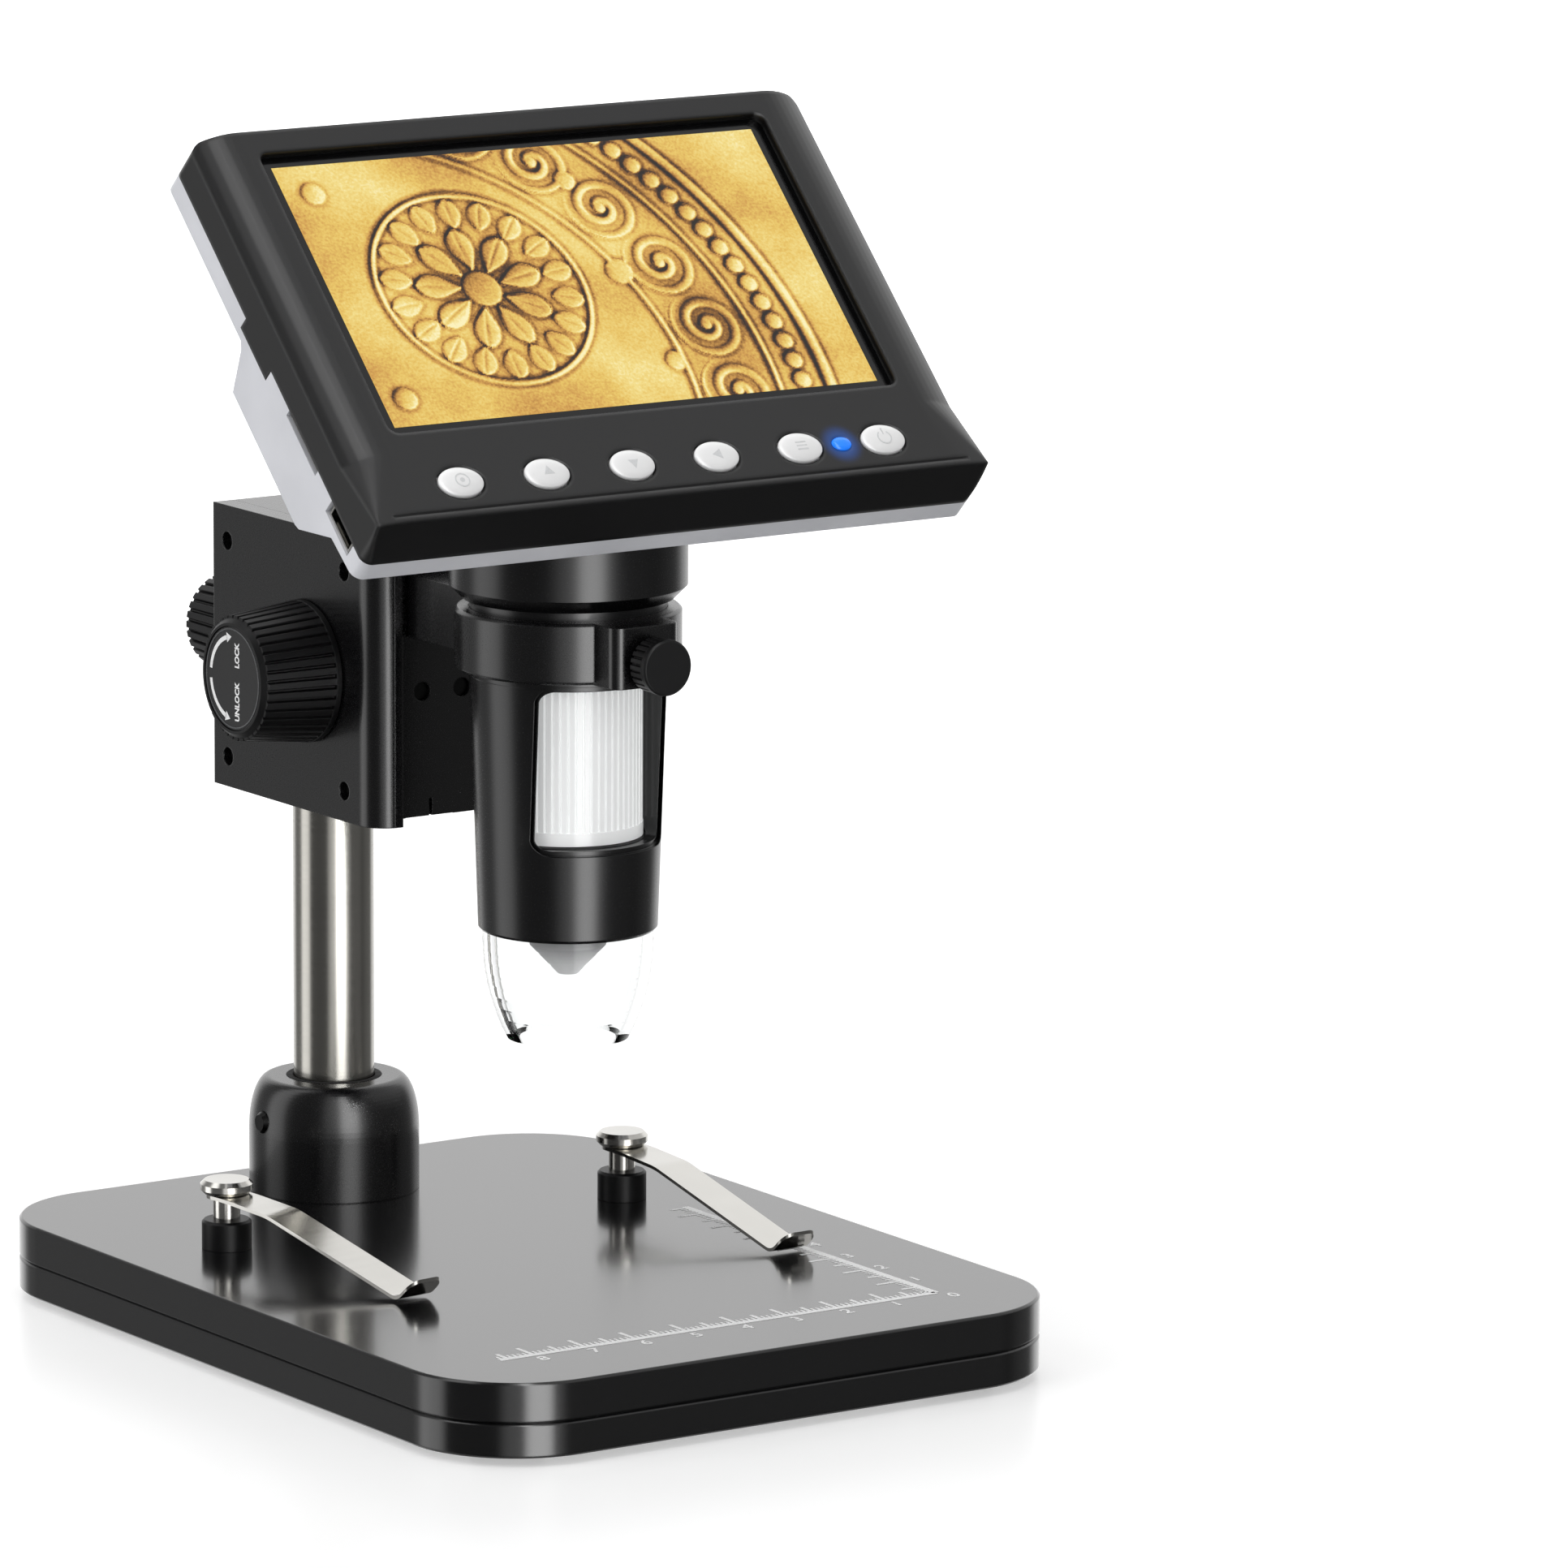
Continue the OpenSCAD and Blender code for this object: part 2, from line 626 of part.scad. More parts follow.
// The housing and its side cover as one block, with the post's bore, the slide's channel,
// the rack's slot, the gear's pocket and the shafts' bores
module housing_form() {
    difference() {
        translate([0, 0, bracket_z]) linear_extrude(bracket_h) housing_outline();
        translate([0, post_y, bracket_z - 1]) cylinder(r = post_r + free_gap, h = bracket_h + 2);
        translate([0, post_y, bracket_z + bush_lip])
            cylinder(r = bush_r + run_gap, h = bracket_h - 2 * bush_lip);
        translate([0, 0, bracket_z - 1]) linear_extrude(bracket_h + 2)
            slide_outline(slide_gap, slide_sunk + 1);
        translate([-rack_w / 2 - free_gap, dovetail_y1, bracket_z - 1]) cube([rack_w + 2 * free_gap,
            rack_line_y + rack_crest + free_gap - dovetail_y1, bracket_h + 2]);
        bar_x([-rack_w / 2 - free_gap, cross_y, cross_z], pinion_tip_r + free_gap, rack_w + 2 * free_gap);
        bar_x([-bracket_w, cross_y, cross_z], stud_r + run_gap, 2 * bracket_w);
        bar_y([0, post_y, cross_z], stud_r + run_gap, bracket_back + 1);
        for (y = housing_screw_y, z = housing_screw_z) {
            bar_x([-bracket_w / 2 - 1, y, z], recess_r, cover_seat + 1);
            bar_x([-bracket_w / 2, y, z], recess_r - 0.6, cover_seat + cover_screw_l);
        }
    }
}

module housing() {
    color("#1b1b1c") intersection() {
        housing_form();
        translate([-bracket_w / 2 + cover_t, bracket_y0 - 1, bracket_z - 1])
            cube([bracket_w, bracket_front + bracket_back + 2, bracket_h + 2]);
    }
}

// Cover that closes the gear pocket and the post bore's left side
module side_cover() {
    color("#242425") intersection() {
        housing_form();
        translate([-bracket_w, bracket_y0 - 1, bracket_z - 1])
            cube([bracket_w / 2 + cover_t, bracket_front + bracket_back + 2, bracket_h + 2]);
    }
}

module cover_screws() {
    head_x = -bracket_w / 2 + cover_seat - cover_head_t;
    color("#3a3a3a") for (y = housing_screw_y, z = housing_screw_z) {
        bar_x([head_x, y, z], recess_r - 0.1, cover_head_t);
        bar_x([head_x, y, z], recess_r - 0.6, cover_head_t + cover_screw_l);
    }
}

// ---------------------------------------------------------------- knobs

// Stands children on one end of the cross shaft: side is -1 left, 1 right
module on_side(side) {
    translate([side * (bracket_w / 2 + free_gap), cross_y, cross_z]) rotate([0, side * 90, 0]) children();
}

module side_knob(side) {
    color("#181818") on_side(side)
        ribbed_knob(knob_r, knob_tip_r, knob_l, knob_ribs, knob_tip_r - 1.9, stud_r, knob_l - 4);
}
module side_cap(side) {
    color("#2e2e2f") on_side(side) translate([0, 0, knob_l - 0.8]) cylinder(r = knob_tip_r - 2, h = 0.6);
}
module lock_knob() { side_knob(-1); }
module lock_cap() { side_cap(-1); }
module lift_knob() { side_knob(1); }
module lift_cap() { side_cap(1); }

// The lock screw's tip presses on the pinion's end
module lock_stud() {
    x0 = -bracket_w / 2 - free_gap - knob_l + 4;
    color("#b9b9b9") bar_x([x0, cross_y, cross_z], stud_r, -rack_w / 2 - slide_gap - x0);
}

// Outline of the pinion: true involute flanks, with a tooth pointing at the rack
module pinion_outline() {
    half = 90 / pinion_teeth - tooth_play / 4 / pitch_r * 180 / PI;
    function roll(r) = let (a = acos(min(1, pinion_base_r / r))) tan(a) * 180 / PI - a;
    function flank(r) = half + roll(pitch_r) - roll(max(r, pinion_base_r));
    radii = [pinion_root_r, for (k = [0:4]) max(pinion_base_r, pinion_root_r)
        + k / 4 * (pinion_tip_r - max(pinion_base_r, pinion_root_r))];
    polygon([for (i = [0:pinion_teeth - 1]) let (c = 180 + i * 360 / pinion_teeth) each concat(
        [for (r = radii) r * [cos(c - flank(r)), sin(c - flank(r))]],
        [for (r = reversed(radii)) r * [cos(c + flank(r)), sin(c + flank(r))]])]);
}

// Shaft and pinion turned from one bar, running from the pinion into the right knob
module pinion_shaft() {
    color("#c0b080") translate([0, cross_y, cross_z]) {
        rotate([90, 0, 90]) translate([0, 0, -rack_w / 2]) linear_extrude(rack_w) pinion_outline();
        bar_x([0, 0, 0], stud_r, bracket_w / 2 + free_gap + knob_l - 4);
    }
}

module clamp_knob() {
    y1 = post_y + clamp_reach;
    neck_l = clamp_reach - clamp_l - bracket_back - free_gap;
    color("#161616") {
        translate([0, y1 - clamp_l, cross_z]) rotate([-90, 0, 0])
            ribbed_knob(clamp_r, clamp_r - 0.6, clamp_l, clamp_ribs, clamp_r - 3, stud_r, clamp_l - 4);
        difference() {
            bar_y([0, y1 - clamp_l - neck_l, cross_z], stud_r + 2.5, neck_l);
            bar_y([0, y1 - clamp_l - neck_l - 1, cross_z], stud_r, neck_l + 2);
        }
    }
}

module clamp_stud() {
    y0 = post_y + bush_r + slide_gap;
    color("#b9b9b9") bar_y([0, y0, cross_z], stud_r, post_y + clamp_reach - 4 - y0);
}

// ---------------------------------------------------------------- rack slide and ring

module slide_block() {
    notch_w = 0.6;
    color("#1a1a1b") difference() {
        translate([0, 0, slide_z0]) linear_extrude(slide_l) slide_outline(0, 0);
        for (x = [-1, 1]) {
            bar_y([x * slide_screw_x, slide_y0 - 1, slide_screw_z], 1.6, 3.2);
            bar_y([x * slide_screw_x, slide_y0 - 1, slide_screw_z], 1, 4.6);
        }
        translate([-slide_w / 8 - notch_w / 2, slide_y0 - 1, slide_z0 - 1]) cube([notch_w, 2, 4]);
    }
}

// Straight toothed bar on the slide's back: a gap between teeth faces the pinion at rest
module rack() {
    lowest = ceil((slide_z0 + tooth_pitch - cross_z) / tooth_pitch - 0.5);
    highest = floor((slide_z0 + slide_l - tooth_pitch - cross_z) / tooth_pitch - 0.5);
    half_at = function(out) tooth_pitch / 4 - tooth_play / 4 - out * tan(pressure);
    root_y = rack_line_y - rack_root;
    tip_y = rack_line_y + rack_crest;
    root_half = half_at(-rack_root);
    tip_half = half_at(rack_crest);
    teeth = [for (k = [lowest:highest]) let (z = cross_z + (k + 0.5) * tooth_pitch) each [
        [root_y, z - root_half], [tip_y, z - tip_half], [tip_y, z + tip_half], [root_y, z + root_half]]];
    color("#c9a86a") translate([-rack_w / 2, 0, 0]) rotate([90, 0, 90]) linear_extrude(rack_w)
        polygon(concat([[dovetail_y1, slide_z0], [root_y, slide_z0]], teeth,
            [[root_y, slide_z0 + slide_l], [dovetail_y1, slide_z0 + slide_l]]));
}

module slide_screws() {
    color("#3a3a3a") for (x = [-1, 1]) translate([x * slide_screw_x, 0, slide_screw_z]) {
        bar_y([0, slide_y0 + 0.7, 0], 1.5, 1.5);
        bar_y([0, slide_y0 + 0.7, 0], 1, 2.8);
    }
}

// Ring, arm and front boss in one casting
module holder_ring() {
    edge = 0.5;
    boss_l = axis_y - barrel_r - lug_y;
    color("#161617") difference() {
        union() {
            translate([0, axis_y, ring_z]) rotate_extrude() polygon([[barrel_r, 0], [ring_r - edge, 0],
                [ring_r, edge], [ring_r, ring_h - edge], [ring_r - edge, ring_h], [barrel_r, ring_h]]);
            translate([-arm_w / 2, axis_y + barrel_r, ring_z])
                cube([arm_w, slide_y0 - axis_y - barrel_r, ring_h + 0.5]);
            translate([0, lug_y, ring_z]) linear_extrude(ring_h) {
                translate([-lug_w / 2, lug_corner_r]) square([lug_w, boss_l - lug_corner_r]);
                translate([-lug_w / 2 + lug_corner_r, 0]) square([lug_w - 2 * lug_corner_r, boss_l]);
                for (x = [-1, 1]) translate([x * (lug_w / 2 - lug_corner_r), lug_corner_r])
                    circle(lug_corner_r);
            }
        }
        translate([0, axis_y, ring_z - 1]) cylinder(r = barrel_r + run_gap, h = ring_h + 3);
        bar_y([0, lug_y - 1, thumb_z], thumb_stud_r + run_gap, lug_out + ring_wall + 3);
    }
}

// Knurled head with a smooth round face
module thumb_screw() {
    gap = free_gap;
    collar_t = 1.2;
    face_t = 1.3;
    edge = 0.3;
    tip_y = axis_y - barrel_r - gap;
    y0 = lug_y - gap - collar_t;
    color("#1a1a1a") {
        translate([0, y0, thumb_z]) rotate([90, 0, 0]) {
            linear_extrude(thumb_t - face_t) polygon(ribbed(thumb_r - 0.1, 24, 0.45));
            translate([0, 0, thumb_t - face_t]) cylinder(r = thumb_r, h = face_t - edge);
            translate([0, 0, thumb_t - edge]) cylinder(r1 = thumb_r, r2 = thumb_r - edge, h = edge);
        }
        bar_y([0, y0, thumb_z], thumb_stud_r + 1, collar_t);
        bar_y([0, y0, thumb_z], thumb_stud_r, tip_y - y0);
    }
}

// ---------------------------------------------------------------- barrel

// The focus window, seen from the front, grown by g
module window_outline(g) {
    translate([0, (window_z + window_top_z) / 2])
        rounded_rect(window_w + 2 * g, window_top_z - window_z + 2 * g, 2 + g);
}

module barrel_shell() {
    edge = 0.5;
    step_d = 0.8;
    color("#151515") difference() {
        translate([0, axis_y, 0]) rotate_extrude() polygon([[bore_r, barrel_z],
            [barrel_low_r - edge, barrel_z], [barrel_low_r, barrel_z + edge],
            [barrel_r - 0.05, barrel_step_z], [barrel_r, barrel_step_z + 0.1],
            [barrel_r, barrel_top_z], [bore_r, barrel_top_z]]);
        // the window through the wall, and the shallow step round it
        translate([0, axis_y, 0]) rotate([90, 0, 0]) linear_extrude(barrel_r + 5) window_outline(0);
        difference() {
            translate([0, axis_y, 0]) rotate([90, 0, 0]) linear_extrude(barrel_r + 5)
                window_outline(window_step);
            translate([0, axis_y, 0]) rotate_extrude() polygon([[0, barrel_z],
                [barrel_low_r - step_d, barrel_z], [barrel_r - step_d, barrel_step_z],
                [barrel_r - step_d, barrel_top_z], [0, barrel_top_z]]);
        }
    }
}

// Clear ribbed drum, bored for the lens tube
module focus_wheel() {
    color("#e4e7ea") translate([0, axis_y, wheel_z]) difference() {
        union() {
            cylinder(r = wheel_r, h = wheel_band);
            translate([0, 0, wheel_band]) linear_extrude(wheel_top_z - wheel_z - wheel_band)
                polygon(ribbed(wheel_r - 0.1, wheel_ribs, 0.35));
        }
        translate([0, 0, -1]) cylinder(r = lens_tube_r + run_gap, h = wheel_top_z - wheel_z + 2);
    }
}

// Ring that carries the wheel on the barrel's bore
module wheel_seat() {
    color("#2a2a2a") translate([0, axis_y, wheel_z - free_gap - wheel_seat_t]) difference() {
        cylinder(r = bore_r, h = wheel_seat_t);
        translate([0, 0, -1]) cylinder(r = lens_tube_r + free_gap, h = wheel_seat_t + 2);
    }
}

module lens_tube() {
    color("#3b3b3b") translate([0, axis_y, lens_tube_z]) difference() {
        cylinder(r = lens_tube_r, h = lens_tube_l);
        translate([0, 0, -1]) cylinder(r = lens_r, h = lens_tube_l + 2);
    }
}

// Glass lens with two domed faces, seated in the lens tube
module lens() {
    t = 2.4;
    bulge = 0.9;
    face = [for (a = [0:15:90]) [lens_r * sin(a), bulge * cos(a)]];
    color("#bcd6e6") translate([0, axis_y, lens_tube_z + 3]) rotate_extrude()
        polygon(concat([for (p = face) [p[0], t / 2 + p[1]]],
            [for (p = reversed(face)) [p[0], -t / 2 - p[1]]]));
}

module lamp_board() {
    color("#2f6b3c") translate([0, axis_y, lamp_board_z]) difference() {
        cylinder(r = bore_r, h = board_t);
        translate([0, 0, -1]) cylinder(r = cone_r - 1, h = board_t + 2);
    }
}

// Eight white lamps round the lens
module lamp_ring() {
    color("#fbfbf4") for (a = [22.5:45:360]) translate([0, axis_y, 0]) rotate(a)
        translate([(bore_r + cone_r) / 2, 0, lamp_board_z]) rotate([180, 0, 0]) {
            cylinder(r = 1.5, h = 0.8);
            translate([0, 0, 0.8]) cylinder(r1 = 1.5, r2 = 0.9, h = 0.6);
        }
}

// Grey cone round the lens, open at its tip
module lens_cone() {
    wall = 0.9;
    tip_r = 1.5;
    tip_z = stage_z + cone_tip;
    shoulder_z = tip_z + cone_r - tip_r;
    color("#7d7f80") translate([0, axis_y, 0]) rotate_extrude() polygon([
        [cone_r, lamp_board_z], [cone_r, shoulder_z], [tip_r + 0.25, tip_z], [tip_r - 0.25, tip_z],
        [tip_r - 0.25, tip_z + 0.8], [cone_r - wall, shoulder_z + 0.6], [cone_r - wall, lamp_board_z]]);
}

// Clear hood: nearly upright at the barrel, curving in to its mouth
module clear_hood() {
    mouth_z = stage_z + hood_low;
    h = barrel_z - mouth_z;
    bow = 2.4;
    function hood_at(t) = hood_mouth_r + (hood_r - hood_mouth_r) * (1 - pow(t, bow));
    steps = [0:0.1:1];
    outside = [for (t = steps) [hood_at(t), barrel_z - t * h]];
    inside = [for (t = steps) [hood_at(t) - hood_wall, barrel_z - t * h]];
    plug_z = barrel_z + hood_plug_t;
    color("#dfeaf2", 0.5) translate([0, axis_y, 0]) rotate_extrude() polygon(concat(
        [[hood_at(0) - hood_wall, plug_z], [bore_r, plug_z], [bore_r, barrel_z]],
        outside, reversed(inside)));
}

module sensor_board() {
    color("#2f6b3c") translate([0, axis_y, barrel_top_z]) cylinder(r = barrel_r - 0.3, h = board_t);
    color("#202020") translate([-3.5, axis_y - 3.5, barrel_top_z - 1]) cube([7, 7, 1 + sliver]);
}

// Upright tube from the ring to the screen case: capped, and cut to lie against the case's back
module neck() {
    wall = 3;
    seat_z = barrel_top_z + board_t;
    far = 2 * case_w;
    case_side = concat([[-far, far], [far, far], [far, -shell_d]],
        [for (i = [3:len(rear_outline()) - 1]) rear_outline()[i]], [[-far, -shell_d]]);
    color("#151516") difference() {
        translate([0, axis_y, 0]) rotate_extrude() polygon([
            [barrel_r, neck_z], [neck_r - neck_foot_bevel, neck_z], [neck_r, neck_z + neck_foot_bevel],
            [neck_r, neck_top_z - neck_bevel], [neck_r - neck_bevel, neck_top_z], [0, neck_top_z],
            [0, neck_top_z - wall], [neck_r - wall, neck_top_z - wall], [neck_r - wall, seat_z + 1],
            [barrel_r - 2.2, seat_z + 1], [barrel_r - 2.2, seat_z], [barrel_r, seat_z]]);
        on_case() case_prism(case_side, case_w);
    }
}

// ---------------------------------------------------------------- screen case

// Stretches a side profile (up the screen, out of the screen) across the case
module case_prism(profile, w) {
    translate([-w / 2, 0, 0]) rotate([90, 0, 90]) linear_extrude(w) polygon(profile);
}

// Side profile of the rear shell: flat back, then a hump whose underside lies level
function hump_low() =
    (neck_z + hump_over_neck - screen_z + hump_d * cos(screen_tilt)) / sin(screen_tilt);
function hump_foot() = hump_low() - (hump_d - shell_d - 0.6) / tan(screen_tilt);
function rear_outline() = [[-chin, -seam_d], [case_top, -seam_d], [case_top, -shell_d],
    [hump_up, -shell_d], [hump_up - 1.2, -shell_d - 1], [neck_top_s, -hump_d],
    [hump_low() + 0.8, -hump_d], [hump_low() - 0.4, -hump_d + 0.4],
    [hump_foot(), -shell_d - 0.6], [-chin, -shell_d]];
function rear_hollow() = let (w = shell_wall) [[-chin + w, -seam_d + 1], [case_top - w, -seam_d + 1],
    [case_top - w, -shell_d + w], [hump_up - w, -shell_d + w], [neck_top_s - 1.6, -hump_d + w],
    [hump_low() + 1.4, -hump_d + w], [hump_foot() + 1.4, -shell_d + w], [-chin + w, -shell_d + w]];

// Keeps the case's corners round, seen square to the screen
module case_corners() {
    translate([0, (case_top - chin) / 2, -40]) linear_extrude(60)
        rounded_rect(case_w, case_top + chin, 2);
}

// Openings in the left side: charging jack and card slot
module side_openings() {
    side_x = -case_w / 2 - 1;
    translate([side_x, jack_s - jack_w / 2, -seam_d - jack_t + 0.1])
        cube([jack_l + 2, jack_w, jack_t]);
    translate([side_x, slot_s - slot_w / 2, -seam_d - slot_t])
        cube([8, slot_w, slot_t + sliver]);
}

module rear_shell() {
    w = shell_wall;
    color("#d4d5da") on_case() difference() {
        intersection() {
            case_prism(rear_outline(), case_w);
            case_corners();
        }
        difference() {
            case_prism(rear_hollow(), case_w - 4 * w);
            // pillars for the main board and for the case screws
            for (x = post_xs, s = post_ss)
                translate([x, s, -case_w]) cylinder(r = 2.6, h = case_w - seam_d - 0.3);
            for (x = [-1, 1], s = case_screw_s)
                translate([x * case_screw_x, s, -case_w]) cylinder(r = case_pillar_r, h = 2 * case_w);
        }
        side_openings();
        translate([-case_w / 2 - 1, tab_s[0], -seam_d - tab_t])
            cube([tab_in + 1, tab_s[1] - tab_s[0], 10]);
        // screws down wells that open in the back and in the hump's underside
        for (x = [-1, 1], s = case_screw_s) translate([x * case_screw_x, s, -hump_d - 1]) {
            cylinder(r = case_screw_r, h = 2 * hump_d);
            cylinder(r = 2 * case_screw_r, h = hump_d - shell_d + screw_head_t + 0.4);
        }
        // cable way into the neck
        translate([0, hump_low() + 6, -case_w]) cylinder(r = 3, h = case_w - shell_d - 1);
    }
}

// Front profile of the bezel (across, out of the screen): flat face that rolls off at the sides
module bezel_outline(drop) {
    w = case_w / 2;
    roll = [for (k = [0:6]) [w - roll_w * (1 - k / 6), face_t - drop * pow(k / 6, 2)]];
    polygon(concat(roll, [[w, -seam_d], [-w, -seam_d]], [for (p = reversed(roll)) [-p[0], p[1]]]));
}

// Stretches the bezel's front profile up the screen from s0 to s1
module up_case(s0, s1) {
    translate([0, s1, 0]) rotate([90, 0, 0]) linear_extrude(s1 - s0) children();
}

module bezel_block() {
    roll_end = -6;
    intersection() {
        union() {
            up_case(roll_end, case_top) bezel_outline(roll_drop);
            // the chin's roll-off fades and its underside slopes back to the seam
            hull() {
                up_case(roll_end - sliver, roll_end) bezel_outline(roll_drop);
                up_case(-face_low, -face_low + sliver) bezel_outline(0.4);
                translate([-case_w / 2, -chin, -seam_d]) cube([case_w, 1, 0.4]);
            }
        }
        case_corners();
    }
}

module front_bezel() {
    color("#3d3d3e") on_case() {
        difference() {
            bezel_block();
            // the space behind the face, with its four screw bosses left standing
            difference() {
                translate([-case_w / 2 + face_wall, -cavity_low, -seam_d - 1])
                    cube([case_w - 2 * face_wall, cavity_low + cavity_top, seam_d + 1]);
                for (x = [-1, 1], s = case_screw_s)
                    translate([x * case_screw_x, s, -2 * seam_d])
                        cylinder(r = case_boss_r, h = 3 * seam_d);
            }
            translate([0, (opening_top - opening_low) / 2, -1]) linear_extrude(5)
                rounded_rect(lcd_w + 2 * window_margin, opening_top + opening_low, 2);
            for (i = [1:button_count]) translate([button_x(i), -button_down, -2])
                cylinder(r = button_r + slide_gap, h = 6);
            translate([lamp_x, -button_down, -2]) cylinder(r = lamp_r, h = 6);
            for (x = [-1, 1], s = case_screw_s)
                translate([x * case_screw_x, s, -seam_d - 1]) cylinder(r = case_screw_r, h = 5.5);
        }
        translate([-case_w / 2, tab_s[0], -seam_d - tab_t])
            cube([tab_in, tab_s[1] - tab_s[0], tab_t + 0.5]);
    }
}

// Sheet of the screen's outline: z0 is its back, t its thickness
module screen_sheet(z0, t) {
    translate([0, (glass_top - glass_low) / 2, z0]) linear_extrude(t)
        rounded_rect(glass_w, glass_top + glass_low, 1);
}

module screen_glass() { color("#101214") on_case() screen_sheet(-glass_t, glass_t); }

module lcd_panel() {
    color("#b9bcc0") on_case() screen_sheet(-glass_t - panel_t, panel_t);
}

module main_board() {
    color("#2f6b3c") on_case() difference() {
        translate([-board_half, -cavity_low + 1.5, -seam_d - 0.3])
            cube([2 * board_half, cavity_low + lcd_h, board_t]);
        translate([lamp_x, -button_down, -20]) cylinder(r = 0.5, h = 30);
    }
}

module battery() {
    color("#7fa6b8") on_case() translate([-battery_w / 2, hump_low() + 9.5, -hump_d + shell_wall])
        cube([battery_w, neck_top_s - hump_low() - 12, hump_d - shell_wall - seam_d - 1.2]);
}

// Metal socket, open to the left
module usb_jack() {
    wall = 0.4;
    h = jack_t - 0.4;
    color("#c8c8c8") on_case() difference() {
        translate([-case_w / 2 + 0.5, jack_s - jack_w / 2 + 0.6, -seam_d - 0.3 - h])
            cube([jack_l, jack_w - 1.2, h]);
        translate([-case_w / 2, jack_s - jack_w / 2 + 0.6 + wall, -seam_d - 0.3 - h + wall])
            cube([6, jack_w - 1.2 - 2 * wall, h - 2 * wall]);
    }
    color("#202020") on_case() translate([-case_w / 2 + 1.5, jack_s - 2.4, -seam_d - 0.3 - h / 2 - 0.25])
        cube([5.5, 4.8, 0.5]);
}

module card_socket() {
    h = slot_t - 0.35;
    color("#a9a9a9") on_case() difference() {
        translate([-case_w / 2 + 0.8, slot_s - slot_w / 2 + 0.2, -seam_d - 0.3 - h])
            cube([14, slot_w - 0.4, h]);
        translate([-case_w / 2, slot_s - slot_w / 2 + 0.5, -seam_d - h])
            cube([11, slot_w - 1, h - 0.3]);
    }
}

module power_lamp() {
    color("#1a6fe0") on_case() translate([lamp_x, -button_down, -0.2]) {
        cylinder(r = lamp_r, h = face_t + 0.2);
        translate([0, 0, face_t + 0.2]) rotate_extrude() polygon([[0, 0], for (a = [0:15:90])
            [lamp_r * cos(a), 0.5 * lamp_r * sin(a)]]);
        translate([0, 0, -seam_d - 0.1 + board_t]) cylinder(r = 0.5, h = seam_d - board_t + 0.2);
    }
}

module case_screws() {
    color("#4a4a4a") on_case() for (x = [-1, 1], s = case_screw_s)
        translate([x * case_screw_x, s, -shell_d + 0.3]) {
            cylinder(r = 2 * case_screw_r - 0.1, h = screw_head_t - 0.9);
            cylinder(r = case_screw_r, h = shell_d - seam_d + 3.5);
        }
}

// Domed button with a flange behind the face and a stem over its switch
module button(i) {
    crown = [for (a = [0:15:90]) [button_r * cos(a), face_t + 0.2 + (button_rise - 0.2) * sin(a)]];
    color("#f4f4f4") on_case() translate([button_x(i), -button_down, 0]) rotate_extrude() polygon(concat(
        [[0, -seam_d + board_t + 0.4], [1, -seam_d + board_t + 0.4], [1, -1], [button_r + 0.8, -1],
            [button_r + 0.8, -slide_gap], [button_r, -slide_gap]], crown));
}
module button_1() { button(1); }
module button_2() { button(2); }
module button_3() { button(3); }
module button_4() { button(4); }
module button_5() { button(5); }
module button_6() { button(6); }

base_top_plate();
base_under_plate();
feet();
base_screws();
post_collar();
collar_screw();
post();
post_bolt();
clip_boss_left();
clip_boss_right();
clip_screw_left();
clip_screw_right();
clip_leaf_left();
clip_leaf_right();
post_bush();
housing();
side_cover();
cover_screws();
clamp_knob();
clamp_stud();
lock_knob();
lock_cap();
lock_stud();
lift_knob();
lift_cap();
pinion_shaft();
slide_block();
rack();
slide_screws();
holder_ring();
thumb_screw();
barrel_shell();
focus_wheel();
wheel_seat();
lens_tube();
lens();
lamp_board();
lamp_ring();
lens_cone();
clear_hood();
sensor_board();
neck();
rear_shell();
front_bezel();
screen_glass();
lcd_panel();
main_board();
battery();
usb_jack();
card_socket();
power_lamp();
case_screws();
button_1();
button_2();
button_3();
button_4();
button_5();
button_6();
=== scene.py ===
"""Finishes, printed marks, light and camera for a bench microscope with a slanted screen."""

import json
import math

import bpy
import numpy as np
from bpy.props import FloatProperty, FloatVectorProperty, PointerProperty, StringProperty
from mathutils import Matrix, Vector


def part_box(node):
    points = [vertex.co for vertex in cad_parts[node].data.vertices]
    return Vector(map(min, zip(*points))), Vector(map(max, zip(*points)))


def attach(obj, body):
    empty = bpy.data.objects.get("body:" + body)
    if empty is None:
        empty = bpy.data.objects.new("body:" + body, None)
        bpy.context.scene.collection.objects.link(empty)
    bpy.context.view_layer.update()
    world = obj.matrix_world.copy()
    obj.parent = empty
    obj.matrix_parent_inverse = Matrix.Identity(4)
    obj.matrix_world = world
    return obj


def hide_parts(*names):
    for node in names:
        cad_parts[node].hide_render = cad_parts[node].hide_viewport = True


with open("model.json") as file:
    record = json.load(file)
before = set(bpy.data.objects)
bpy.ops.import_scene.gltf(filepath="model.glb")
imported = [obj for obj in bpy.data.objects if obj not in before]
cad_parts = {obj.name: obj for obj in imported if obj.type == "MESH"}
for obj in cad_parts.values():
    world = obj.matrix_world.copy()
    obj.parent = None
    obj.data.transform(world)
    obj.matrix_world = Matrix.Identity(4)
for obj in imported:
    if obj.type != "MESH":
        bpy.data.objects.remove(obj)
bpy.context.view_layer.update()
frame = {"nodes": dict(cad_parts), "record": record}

bl_info = {
    "name": "Bench microscope looks",
    "version": (1, 0, 0),
    "blender": (4, 5, 0),
    "location": "View3D > Sidebar > Microscope",
    "description": "Finishes, printed marks and studio for a bench microscope",
    "category": "Object",
}

MM = 0.001
STAGE_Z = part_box("base_top_plate")[1][2]

